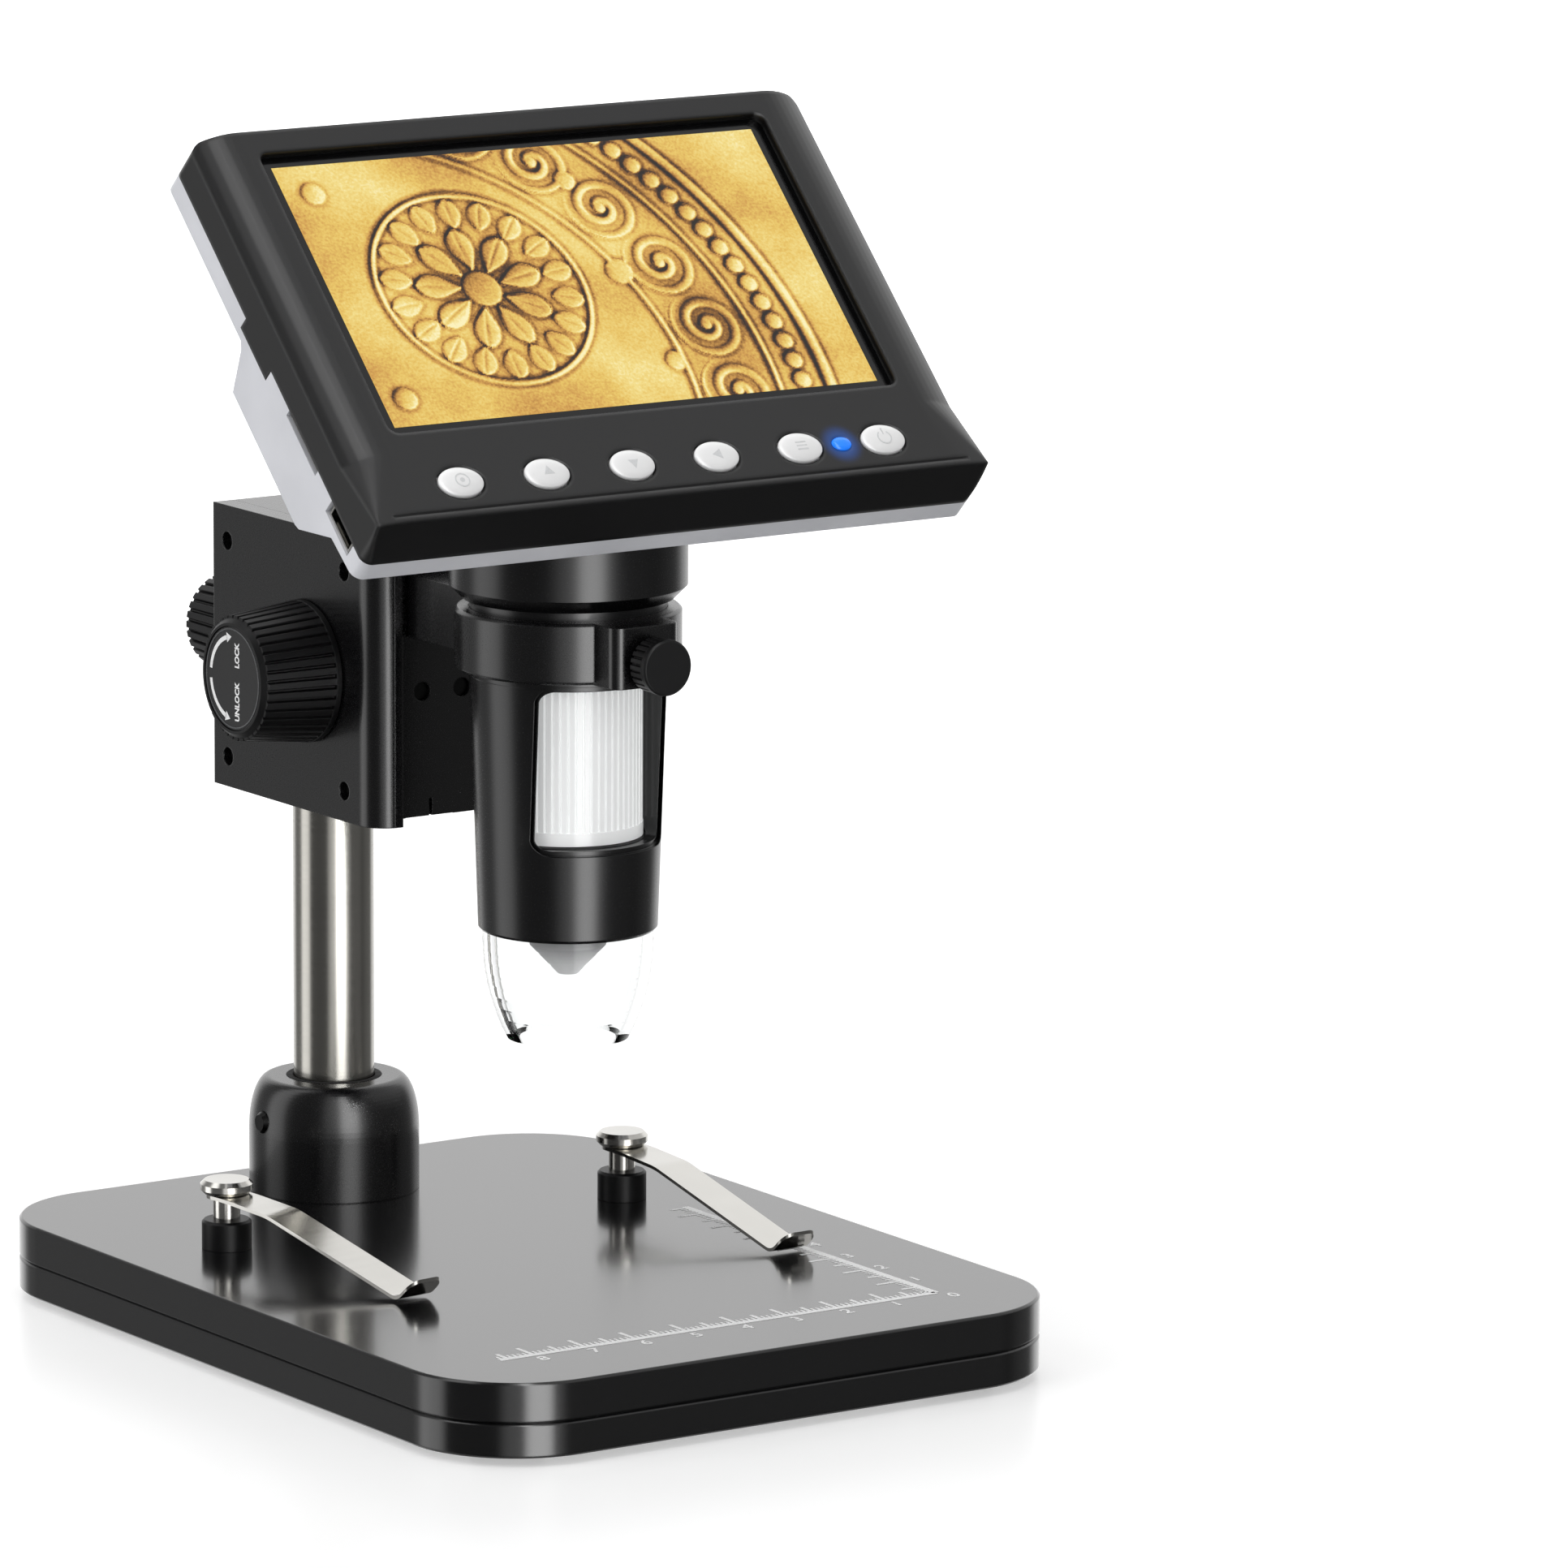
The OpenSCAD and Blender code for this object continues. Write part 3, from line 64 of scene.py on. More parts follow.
# The studio's upright panels and one overhead: azimuth, rise (none for an upright strip),
# inner and outer half width in degrees, strength
PANELS = (
    (150.0, None, 7.0, 21.0, 1.7),
    (259.8, None, 6.0, 17.0, 5.6),
    (254.0, None, 20.0, 36.0, 0.85),
    (2.0, None, 8.0, 34.0, 0.08),
    (55.8, None, 30.0, 52.0, 1.05),
    (304.0, None, 8.0, 26.0, 0.07),
    (124.0, None, 14.0, 30.0, 0.16),
    (341.0, 54.0, 22.0, 52.0, 0.55),
)
# Strength of the dim room between the panels, and of the even light on matte surfaces
ROOM = 0.13
AMBIENT = 0.42
# How far the floor is lifted to white close to the object
FLOOR_LIFT = 0.43
# Power of the left, overhead and front softbox, in watts
LEFT_W = 9.0
TOP_W = 8.0
FRONT_W = 3.1

# The camera that was fitted to the photograph: turn, rise and roll in degrees; distance and
# shift to the right and up in mm, from a point on the ground; focal length over a 36 mm sensor
CAMERA_TURNS = (-34.18, 10.79, 0.28)
CAMERA_REACH, CAMERA_RIGHT, CAMERA_UP = 1828.1, 26.04, 84.66
CAMERA_AIM = (0, -40.6, 14.0)
CAMERA_LENS = 250.76

# Ruler print in mm: every how many, length and width of a tick, the longest first
TICKS = ((10, 4.4, 0.7), (5, 2.8, 0.7), (1, 1.3, 0.4))
CM = 10 * MM
DIGIT = 3.8 * MM
# Where the digits stand: below the front line, right of the side line, and the zero's shift
DIGIT_BELOW, DIGIT_BESIDE, ZERO_SHIFT = 3.0 * MM, 2.8 * MM, 1.6 * MM
# How far a printed letter's stroke is widened on each side
STROKE = 0.07 * MM

# An oval cap's flange behind the case's face: how far it reaches out, its back and its front
FLANGE_REACH, FLANGE_BACK, FLANGE_FRONT = 0.55 * MM, -1 * MM, -0.15 * MM
# A button's and the lamp's stem (half width, foot), and the top of their upright walls
BUTTON_STEM, BUTTON_WALL = (1 * MM, -5.1 * MM), 1.85 * MM
LAMP_STEM, LAMP_WALL, LAMP_CROWN, LAMP_GAP = (0.5 * MM, -5.5 * MM), 1.72 * MM, 2.3 * MM, 0.05 * MM
# Plugs that fill the round openings: radius for a button and the lamp, depth and middle
BUTTON_PLUG, LAMP_PLUG, PLUG_DEPTH, PLUG_MIDDLE = 4.3 * MM, 1.8 * MM, 1.67 * MM, 0.855 * MM
# Depth and middle of the oval cuts
CUT_DEPTH, CUT_MIDDLE = 6 * MM, 1 * MM
# The chin's groove: width, depth, distance below the lit area, middle, and its ends' margin
GROOVE_WIDTH, GROOVE_DEPTH, GROOVE_S, GROOVE_N = 0.5 * MM, 1 * MM, -18.3 * MM, 1.9 * MM
GROOVE_MARGIN = 7 * MM

# Sockets of a colour Mix node: its two colours, and the result among its outputs
FIRST, SECOND, MIXED = 6, 7, 2
# Rays that a rounded edge is worked out from
EDGE_RAYS = 6
# Faces that meet at less than this angle are shaded as one
SMOOTH = math.radians(30)


# ---------- sizes and colours


class MicroscopeSizes(bpy.types.PropertyGroup):
    """The screen's place and the sizes of the buttons and printed marks."""

    screen_forward: FloatProperty(
        name="Screen forward", default=43.3 * MM, unit="LENGTH",
        description="Lit area's lower edge in front of the origin")
    screen_height: FloatProperty(
        name="Screen height", description="Lit area's lower edge over the ground",
        default=164.3 * MM, unit="LENGTH")
    screen_tilt: FloatProperty(
        name="Screen tilt", description="Tilt of the screen back from level",
        default=math.radians(45), subtype="ANGLE")
    lit_width: FloatProperty(
        name="Lit width", description="Width of the screen's lit area",
        default=95.04 * MM, unit="LENGTH")
    lit_height: FloatProperty(
        name="Lit height", description="Height of the screen's lit area",
        default=53.86 * MM, unit="LENGTH")
    ruler_corner: FloatVectorProperty(
        name="Ruler corner", description="Where the two scales meet, on the stage", size=2,
        default=(42.0 * MM, -70.3 * MM), subtype="TRANSLATION")
    ruler_front: FloatProperty(
        name="Front scale", description="Length of the scale along the front edge",
        default=86.6 * MM, unit="LENGTH")
    ruler_side: FloatProperty(
        name="Side scale", description="Length of the scale along the right edge",
        default=75.8 * MM, unit="LENGTH")
    ruler_line: FloatProperty(
        name="Ruler line", description="Width of the two long lines",
        default=1.4 * MM, unit="LENGTH")
    print_height: FloatProperty(
        name="Print height", description="Thickness of the printed ink",
        default=0.04 * MM, unit="LENGTH")
    button_pitch: FloatProperty(
        name="Button pitch", description="Distance between two buttons",
        default=16.6 * MM, unit="LENGTH")
    button_row: FloatProperty(
        name="Button row", description="Distance of the buttons below the lit area",
        default=13.1 * MM, unit="LENGTH")
    button_crown: FloatProperty(
        name="Button crown", description="Height of a button's crown over the screen",
        default=2.5 * MM, unit="LENGTH")
    button_half: FloatVectorProperty(
        name="Button half axes", description="Half of an oval button across and up the screen",
        size=2, default=(4.2 * MM, 2.9 * MM), subtype="TRANSLATION")
    lamp_half: FloatVectorProperty(
        name="Lamp half axes", description="Half of the oval lamp across and up the screen",
        size=2, default=(1.85 * MM, 1.3 * MM), subtype="TRANSLATION")
    button_gap: FloatProperty(
        name="Button gap", description="Gap round a button in the case's face",
        default=0.32 * MM, unit="LENGTH")


class MicroscopeColours(bpy.types.PropertyGroup):
    """Colours of the finishes, as hex values."""

    base_paint: StringProperty(
        name="Base paint", description="Satin black paint on the base", default="#09090a")
    black_alloy: StringProperty(
        name="Black alloy", description="Black anodised castings", default="#0b0b0c")
    bezel: StringProperty(
        name="Bezel", description="Moulded black case and barrel", default="#0c0c0d")
    knob: StringProperty(
        name="Knob", description="Moulded black knobs", default="#0a0a0b")
    knob_cap: StringProperty(
        name="Knob cap", description="Flat caps in the knobs' faces", default="#101011")
    shell: StringProperty(
        name="Shell", description="White rear shell of the case", default="#d4d5da")
    button: StringProperty(
        name="Button", description="White buttons", default="#fbfbfb")
    steel: StringProperty(
        name="Steel", description="Polished steel", default="#cfcdc8")
    print_white: StringProperty(
        name="Print", description="White printed marks", default="#fafafa")
    lamp: StringProperty(
        name="Lamp", description="Blue power lamp", default="#1a6fe0")
    floor: StringProperty(
        name="Floor", description="Studio floor", default="#d2d2d2")


def sizes():
    return bpy.context.scene.microscope_sizes


def colours():
    return bpy.context.scene.microscope_colours


# ---------- materials


def linear(hex_value):
    """An sRGB hex colour as the linear values that shaders take."""
    out = []
    for i in (1, 3, 5):
        c = int(hex_value[i:i + 2], 16) / 255
        out.append(c / 12.92 if c <= 0.04045 else ((c + 0.055) / 1.055) ** 2.4)
    return (*out, 1.0)


def shade(hex_value, factor):
    """The same hex colour, lighter or darker by a factor."""
    parts = [min(255, round(int(hex_value[i:i + 2], 16) * factor)) for i in (1, 3, 5)]
    return "#%02x%02x%02x" % tuple(parts)


def feed(tree, node, values=None, links=None):
    """Sets values on a node's sockets and links other sockets into it."""
    for key, value in (values or {}).items():
        node.inputs[key].default_value = value
    for key, socket in (links or {}).items():
        tree.links.new(socket, node.inputs[key])


def add(tree, kind, values=None, links=None, **settings):
    """Adds one node with its settings, socket values and links."""
    node = tree.nodes.new(kind)
    for key, value in settings.items():
        setattr(node, key, value)
    feed(tree, node, values, links)
    return node


def blank(name):
    """A new node material with a Principled shader on its output: (material, tree, shader)."""
    made = bpy.data.materials.get(name)
    if made:
        bpy.data.materials.remove(made)
    made = bpy.data.materials.new(name)
    made.use_nodes = True
    tree = made.node_tree
    tree.nodes.clear()
    shader = add(tree, "ShaderNodeBsdfPrincipled")
    add(tree, "ShaderNodeOutputMaterial", links={"Surface": shader.outputs[0]})
    return made, tree, shader


def shader_of(made):
    """The Principled shader of a finish."""
    return next(node for node in made.node_tree.nodes if node.type == "BSDF_PRINCIPLED")


def object_noise(tree, size_mm, stretch=(1, 1, 1), detail=3.0):
    """Noise in real millimetres on Object coordinates."""
    here = add(tree, "ShaderNodeTexCoord").outputs["Object"]
    mapped = add(tree, "ShaderNodeMapping", {"Scale": stretch}, {"Vector": here})
    return add(tree, "ShaderNodeTexNoise", {"Scale": 1000 / size_mm, "Detail": detail},
               {"Vector": mapped.outputs[0]})


def moulded(name, colour, rough, grain_mm, grain_depth, coat=0.0, edge=0.2, specular=0.5):
    """Moulded plastic: a fine spark-eroded grain and faint flow marks in tone and gloss."""
    made, tree, shader = blank(name)
    edges = add(tree, "ShaderNodeBevel", {"Radius": edge * MM}, samples=EDGE_RAYS)
    flow = object_noise(tree, 14.0, detail=2.0)
    grain = object_noise(tree, grain_mm, detail=4.0)
    tone = add(tree, "ShaderNodeMix",
               {FIRST: linear(shade(colour, 0.93)), SECOND: linear(shade(colour, 1.06))},
               {0: flow.outputs[0]}, data_type="RGBA")
    gloss = add(tree, "ShaderNodeMapRange", {"To Min": rough - 0.05, "To Max": rough + 0.06},
                {"Value": grain.outputs[0]})
    bump = add(tree, "ShaderNodeBump", {"Strength": 0.5, "Distance": grain_depth * MM},
               {"Height": grain.outputs[0], "Normal": edges.outputs[0]})
    feed(tree, shader,
         {"IOR": 1.5, "Coat Weight": coat, "Coat Roughness": 0.1, "Specular IOR Level": specular},
         {"Base Color": tone.outputs[MIXED], "Roughness": gloss.outputs[0],
          "Normal": bump.outputs[0]})
    return made


def coated_metal(name, colour, rough, grain_mm, grain_depth, orange_peel=0.0, coat=0.0):
    """Paint or anodising on metal: a dark film with slight orange peel and gloss changes."""
    made, tree, shader = blank(name)
    edges = add(tree, "ShaderNodeBevel", {"Radius": 0.4 * MM}, samples=EDGE_RAYS)
    cloud = object_noise(tree, 30.0, detail=2.0)
    grain = object_noise(tree, grain_mm, detail=3.0)
    peel = object_noise(tree, 2.2, detail=1.0)
    tone = add(tree, "ShaderNodeMix",
               {FIRST: linear(shade(colour, 0.9)), SECOND: linear(shade(colour, 1.12))},
               {0: cloud.outputs[0]}, data_type="RGBA")
    gloss = add(tree, "ShaderNodeMapRange", {"To Min": rough - 0.04, "To Max": rough + 0.05},
                {"Value": grain.outputs[0]})
    fine = add(tree, "ShaderNodeBump", {"Strength": 0.4, "Distance": grain_depth * MM},
               {"Height": grain.outputs[0], "Normal": edges.outputs[0]})
    wide = add(tree, "ShaderNodeBump", {"Strength": 0.5, "Distance": orange_peel * MM},
               {"Height": peel.outputs[0], "Normal": fine.outputs[0]})
    feed(tree, shader, {"Coat Weight": coat, "Coat Roughness": 0.1},
         {"Base Color": tone.outputs[MIXED], "Roughness": gloss.outputs[0],
          "Normal": wide.outputs[0]})
    return made


def turned_metal(name, colour, rough, stretch):
    """Polished metal with the faint lines of turning or grinding along one way."""
    made, tree, shader = blank(name)
    lines = object_noise(tree, 0.35, stretch, detail=2.0)
    cloud = object_noise(tree, 9.0, detail=1.0)
    tone = add(tree, "ShaderNodeMix", {FIRST: linear(shade(colour, 0.94)), SECOND: linear(colour)},
               {0: cloud.outputs[0]}, data_type="RGBA")
    gloss = add(tree, "ShaderNodeMapRange", {"To Min": rough * 0.7, "To Max": rough * 1.4},
                {"Value": lines.outputs[0]})
    bump = add(tree, "ShaderNodeBump", {"Strength": 0.25, "Distance": 0.004 * MM},
               {"Height": lines.outputs[0]})
    feed(tree, shader, {"Metallic": 1.0},
         {"Base Color": tone.outputs[MIXED], "Roughness": gloss.outputs[0],
          "Normal": bump.outputs[0]})
    return made


def clear_moulding(name, colour, rough, ior, transmission, glow=0.0):
    """Clear or milky acrylic: polished walls with very faint waves from the mould; glow is a
    painted glow, an even emission of its own colour.
    """
    made, tree, shader = blank(name)
    wave = object_noise(tree, 6.0, detail=0.0)
    bump = add(tree, "ShaderNodeBump", {"Strength": 0.15, "Distance": 0.01 * MM},
               {"Height": wave.outputs[0]})
    tone = add(tree, "ShaderNodeMix", {FIRST: linear(shade(colour, 0.985)), SECOND: linear(colour)},
               {0: wave.outputs[0]}, data_type="RGBA")
    feed(tree, shader,
         {"Roughness": rough, "IOR": ior, "Transmission Weight": transmission,
          "Emission Color": linear(colour), "Emission Strength": glow},
         {"Base Color": tone.outputs[MIXED], "Normal": bump.outputs[0]})
    return made


def case_plastic(name):
    """Satin black ABS of the case, with a painted blue glow round the lamp beside the buttons."""
    made = moulded(name, colours().bezel, 0.33, 0.18, 0.004, edge=1.0)
    tree = made.node_tree
    z = sizes()
    at = case_matrix(2 * z.button_pitch, -z.button_row, 2 * MM).to_translation()
    here = add(tree, "ShaderNodeTexCoord").outputs["Object"]
    away = add(tree, "ShaderNodeVectorMath", {1: at}, {0: here}, operation="DISTANCE")
    # painted glow: blue emission on the case, strongest beside the lamp and gone 4.6 mm away
    glow = add(tree, "ShaderNodeMapRange",
               {"From Min": 1.2 * MM, "From Max": 4.6 * MM, "To Min": 0.3, "To Max": 0.0},
               {"Value": away.outputs["Value"]}, interpolation_type="SMOOTHERSTEP")
    feed(tree, shader_of(made), {"Emission Color": linear(colours().lamp)},
         {"Emission Strength": glow.outputs[0]})
    return made


def cone_plastic(name):
    """Grey ABS of the lamp cone, with a painted glow, a white emission that grows towards its tip,
    where the lamps shine through.
    """
    made = moulded(name, "#5c5c5e", 0.55, 0.25, 0.006, specular=0.3)
    tree = made.node_tree
    low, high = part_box("lens_cone")
    here = add(tree, "ShaderNodeTexCoord").outputs["Object"]
    axes = add(tree, "ShaderNodeSeparateXYZ", links={0: here})
    # painted glow: white emission from none to 0.34 towards the cone's tip
    pale = add(tree, "ShaderNodeMapRange",
               {"From Min": high[2] - 2 * MM, "From Max": low[2], "To Min": 0.0, "To Max": 0.34},
               {"Value": axes.outputs[2]}, interpolation_type="SMOOTHSTEP")
    feed(tree, shader_of(made), {"Emission Color": (1, 1, 1, 1)},
         {"Emission Strength": pale.outputs[0]})
    return made


def lit(name, colour, strength):
    """A lamp's moulded lens, lit from inside."""
    made = moulded(name, colour, 0.25, 0.3, 0.004)
    feed(made.node_tree, shader_of(made),
         {"Emission Color": linear(colour), "Emission Strength": strength})
    return made


def ink(name, colour):
    """Screen-printed ink: matte, with a faint mottle where it thins."""
    made, tree, shader = blank(name)
    mottle = object_noise(tree, 0.4, detail=3.0)
    tone = add(tree, "ShaderNodeMix", {FIRST: linear(shade(colour, 0.86)), SECOND: linear(colour)},
               {0: mottle.outputs[0]}, data_type="RGBA")
    feed(tree, shader, {"Roughness": 0.55}, {"Base Color": tone.outputs[MIXED]})
    return made


def screen_picture():
    """The screen's lit picture: a struck gold relief, its tone in the sheet's own attribute."""
    made, tree, shader = blank("Lit screen")
    total = add(tree, "ShaderNodeAttribute", attribute_name="relief").outputs["Fac"]
    # fine pits, then wide stains, are added to the relief's tone
    for size_mm, detail, top, dark, pale in ((0.5, 5.0, 0.75, -0.10, 0.09),
                                             (7.0, 3.0, 0.7, -0.07, 0.07)):
        marks = object_noise(tree, size_mm, detail=detail)
        change = add(tree, "ShaderNodeMapRange",
                     {"From Min": 0.3, "From Max": top, "To Min": dark, "To Max": pale},
                     {"Value": marks.outputs[0]})
        total = add(tree, "ShaderNodeMath", links={0: total, 1: change.outputs[0]},
                    operation="ADD").outputs[0]
    ramp = add(tree, "ShaderNodeValToRGB", links={"Fac": total})
    stops = ((0.0, "#160a02"), (0.20, "#4a2a0a"), (0.38, "#94621f"), (0.54, "#d39c46"),
             (0.70, "#ebc55e"), (0.86, "#f6de86"), (1.0, "#fff4bc"))
    elements = ramp.color_ramp.elements
    while len(elements) < len(stops):
        elements.new(0.5)
    for element, (at, colour) in zip(elements, stops):
        element.position = at
        element.color = linear(colour)
    feed(tree, shader,
         {"Base Color": linear("#050505"), "Roughness": 0.18, "Emission Strength": 0.94},
         {"Emission Color": ramp.outputs[0]})
    return made


def circuit_board():
    """Green solder mask over copper tracks on a glass-fibre board."""
    made, tree, shader = blank("Green circuit board")
    here = add(tree, "ShaderNodeTexCoord").outputs["Object"]
    tracks = add(tree, "ShaderNodeTexBrick",
                 {"Color1": linear("#1f5a32"), "Color2": linear("#255f38"),
                  "Mortar": linear("#3f8a55"), "Scale": 400.0, "Mortar Size": 0.03},
                 {"Vector": here})
    feed(tree, shader, {"Roughness": 0.35}, {"Base Color": tracks.outputs["Color"]})
    return made


def finishes():
    """Every finish, by the record's material slot."""
    c = colours()
    return {
        # Sprayed satin paint on steel plate: dark, and mirror-pale at a low angle
        "black_plate": coated_metal("Satin black paint on steel", c.base_paint,
                                    0.17, 0.5, 0.003, 0.006, 0.3),
        # Anodised die castings: a soft, even sheen
        "black_alloy": coated_metal("Black anodised aluminium", c.black_alloy,
                                    0.26, 0.25, 0.002, coat=0.15),
        # Ground and polished steel: sharp bands with faint lines round the axis
        "polished_steel": turned_metal("Polished steel", c.steel, 0.16, (0.02, 0.02, 1.0)),
        "dark_steel": turned_metal("Blackened steel", "#2a2a2a", 0.35, (1.0, 1.0, 1.0)),
        "brass": turned_metal("Machined brass", "#b08d4a", 0.25, (1.0, 0.05, 1.0)),
        "panel_metal": turned_metal("Pressed aluminium sheet", "#b4b6ba", 0.4,
                                    (0.05, 1.0, 1.0)),
        # Moulded feet: dead matte
        "black_rubber": moulded("Moulded black rubber", "#0d0d0d", 0.8, 0.3, 0.02),
        "natural_nylon": moulded("Natural nylon", "#dcd6c2", 0.45, 0.3, 0.006),
        # Knobs: ABS from an eroded mould, slightly satin on the ribs
        "black_plastic": moulded("Moulded black ABS", c.knob, 0.42, 0.25, 0.01, specular=0.28),
        # Case and barrel: smoother ABS, satin with a clear reflection at low angles
        "bezel_plastic": moulded("Satin black ABS", c.bezel, 0.25, 0.18, 0.003),
        "grey_plastic": moulded("Matte black cap", c.knob_cap, 0.5, 0.25, 0.012),
        "white_plastic": moulded("White ABS", c.shell, 0.35, 0.2, 0.005),
        "button_plastic": moulded("Glossy white ABS", c.button, 0.2, 0.4, 0.002, coat=0.3),
        "lamp_white": moulded("Lamp epoxy", "#f4f3ea", 0.15, 0.4, 0.002),
        "battery_foil": moulded("Battery wrap", "#7fa6b8", 0.3, 1.5, 0.01),
        "lamp_blue": lit("Lit blue lamp", c.lamp, 0.75),
        # Clear hood: polished acrylic
        "clear_plastic": clear_moulding("Clear acrylic", "#fbfcfc", 0.0, 1.22, 1.0),
        # Focus wheel: milky acrylic with a painted glow, an even emission over the whole wheel
        "frosted_plastic": clear_moulding("Milky acrylic", "#f6f7f7", 0.14, 1.45, 0.06, 0.2),
        "lens_glass": clear_moulding("Lens glass", "#eaf3f8", 0.0, 1.52, 1.0),
        "screen_glass": moulded("Black screen glass", "#060607", 0.12, 3.0, 0.001),
        "board_green": circuit_board(),
    }


# ---------- modelling helpers


def deselect():
    if bpy.context.object and bpy.context.object.mode != "OBJECT":
        bpy.ops.object.mode_set(mode="OBJECT")
    bpy.ops.object.select_all(action="DESELECT")


def pick(piece):
    """Makes a piece the active one, with nothing else selected."""
    deselect()
    piece.select_set(True)
    bpy.context.view_layer.objects.active = piece


def edit_whole():
    """Opens the active piece for editing, all of it selected."""
    bpy.ops.object.mode_set(mode="EDIT")
    bpy.ops.mesh.select_all(action="SELECT")


def named(name):
    """The object just added, under its own name."""
    made = bpy.context.object
    made.name = name
    made.data.name = name
    return made


def join(objects, name):
    pick(objects[0])
    for each in objects:
        each.select_set(True)
    bpy.ops.object.join()
    return named(name)


def place(piece, matrix):
    """Puts a piece where the matrix says, and bakes that into its mesh."""
    pick(piece)
    piece.matrix_world = matrix @ piece.matrix_world
    bpy.ops.object.transform_apply(location=True, rotation=True, scale=True)


def case_matrix(x, s, n=0.0):
    """From the screen's own frame (across, up the screen, out of it) to the ground's."""
    z = sizes()
    origin = Matrix.Translation((0, -z.screen_forward, z.screen_height))
    return origin @ Matrix.Rotation(z.screen_tilt, 4, "X") @ Matrix.Translation((x, s, n))


def hand_over(piece, body, material):
    """Closes a piece: outward normals, smooth shading by angle, finish and body."""
    pick(piece)
    edit_whole()
    bpy.ops.mesh.normals_make_consistent(inside=False)
    bpy.ops.object.mode_set(mode="OBJECT")
    bpy.ops.object.shade_smooth_by_angle(angle=SMOOTH)
    piece.data.materials.clear()
    piece.data.materials.append(material)
    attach(piece, body)


def text_mesh(words, height, thickness, name):
    """Words as a mesh, centred on the origin and facing +Z."""
    deselect()
    bpy.ops.object.text_add()
    piece = named(name)
    piece.data.body = words
    piece.data.size = height
    piece.data.align_x = piece.data.align_y = "CENTER"
    piece.data.extrude = thickness / 2
    piece.data.offset = STROKE
    piece.data.resolution_u = 3
    bpy.ops.object.convert(target="MESH")
    return bpy.context.object


def bar(name, at, size):
    """A box of that size about a point."""
    deselect()
    bpy.ops.mesh.primitive_cube_add(size=1, location=at, scale=size)
    return named(name)


def arc_band(name, radius, width, thickness, start, end, steps):
    """A flat curved band about +Z, made by spinning its cross-section."""
    deselect()
    bpy.ops.mesh.primitive_plane_add(size=1, location=(radius, 0, 0),
                                     rotation=(math.pi / 2, 0, 0))
    band = named(name)
    band.scale = (width, thickness, 1)
    bpy.ops.object.transform_apply(location=True, rotation=True, scale=True)
    place(band, Matrix.Rotation(start, 4, "Z"))
    edit_whole()
    bpy.ops.mesh.spin(steps=steps, angle=end - start, center=(0, 0, 0), axis=(0, 0, -1))
    bpy.ops.object.mode_set(mode="OBJECT")
    return band


def wedge(name, size, thickness):
    """A small arrowhead pointing along +Y."""
    deselect()
    bpy.ops.mesh.primitive_cylinder_add(vertices=3, radius=size, depth=thickness)
    return named(name)


def swept(name, rings):
    """A closed oval form about +Z, ring by ring from its foot: (half across, half up, height)."""
    deselect()
    bpy.ops.mesh.primitive_circle_add(vertices=48, radius=1, fill_type="NGON")
    piece = named(name)
    edit_whole()
    wide, up, height = 1, 1, 0
    for i, (next_wide, next_up, next_height) in enumerate(rings):
        rise = (0, 0, next_height - height)
        if i:
            bpy.ops.mesh.extrude_region_move(TRANSFORM_OT_translate={"value": rise})
        else:
            bpy.ops.transform.translate(value=rise)
        bpy.ops.transform.resize(value=(next_wide / wide, next_up / up, 1),
                                 center_override=(0, 0, 0))
        wide, up, height = next_wide, next_up, next_height
    bpy.ops.object.mode_set(mode="OBJECT")
    return piece


def domed(half, stem, wall, crown):
    """Rings of an oval cap: a stem, a flange behind the face, an upright wall and a dome."""
    across, up = half
    stem_half, foot = stem
    wide, high = across + FLANGE_REACH, up + FLANGE_REACH
    rings = [(stem_half, stem_half, foot), (stem_half, stem_half, FLANGE_BACK),
             (wide, high, FLANGE_BACK), (wide, high, FLANGE_FRONT),
             (across, up, FLANGE_FRONT), (across, up, wall)]
    for angle in (12, 24, 36, 48, 60, 72, 84):
        c, s = math.cos(math.radians(angle)), math.sin(math.radians(angle))
        rings.append((across * c, up * c, wall + (crown - wall) * s))
    return rings


def carve(piece, tool, operation):
    """Joins the tool's solid to the piece, or cuts it out, and takes the tool away."""
    pick(piece)
    modifier = piece.modifiers.new("carve", "BOOLEAN")
    modifier.operation = operation
    modifier.solver = "EXACT"
    modifier.object = tool
    bpy.ops.object.modifier_apply(modifier="carve")
    bpy.data.objects.remove(tool)


# ---------- the picture on the screen


def ridge(distance, width):
    """A rounded ridge of that half width along a line."""
    return np.clip(1 - (distance / width) ** 2, 0, 1)


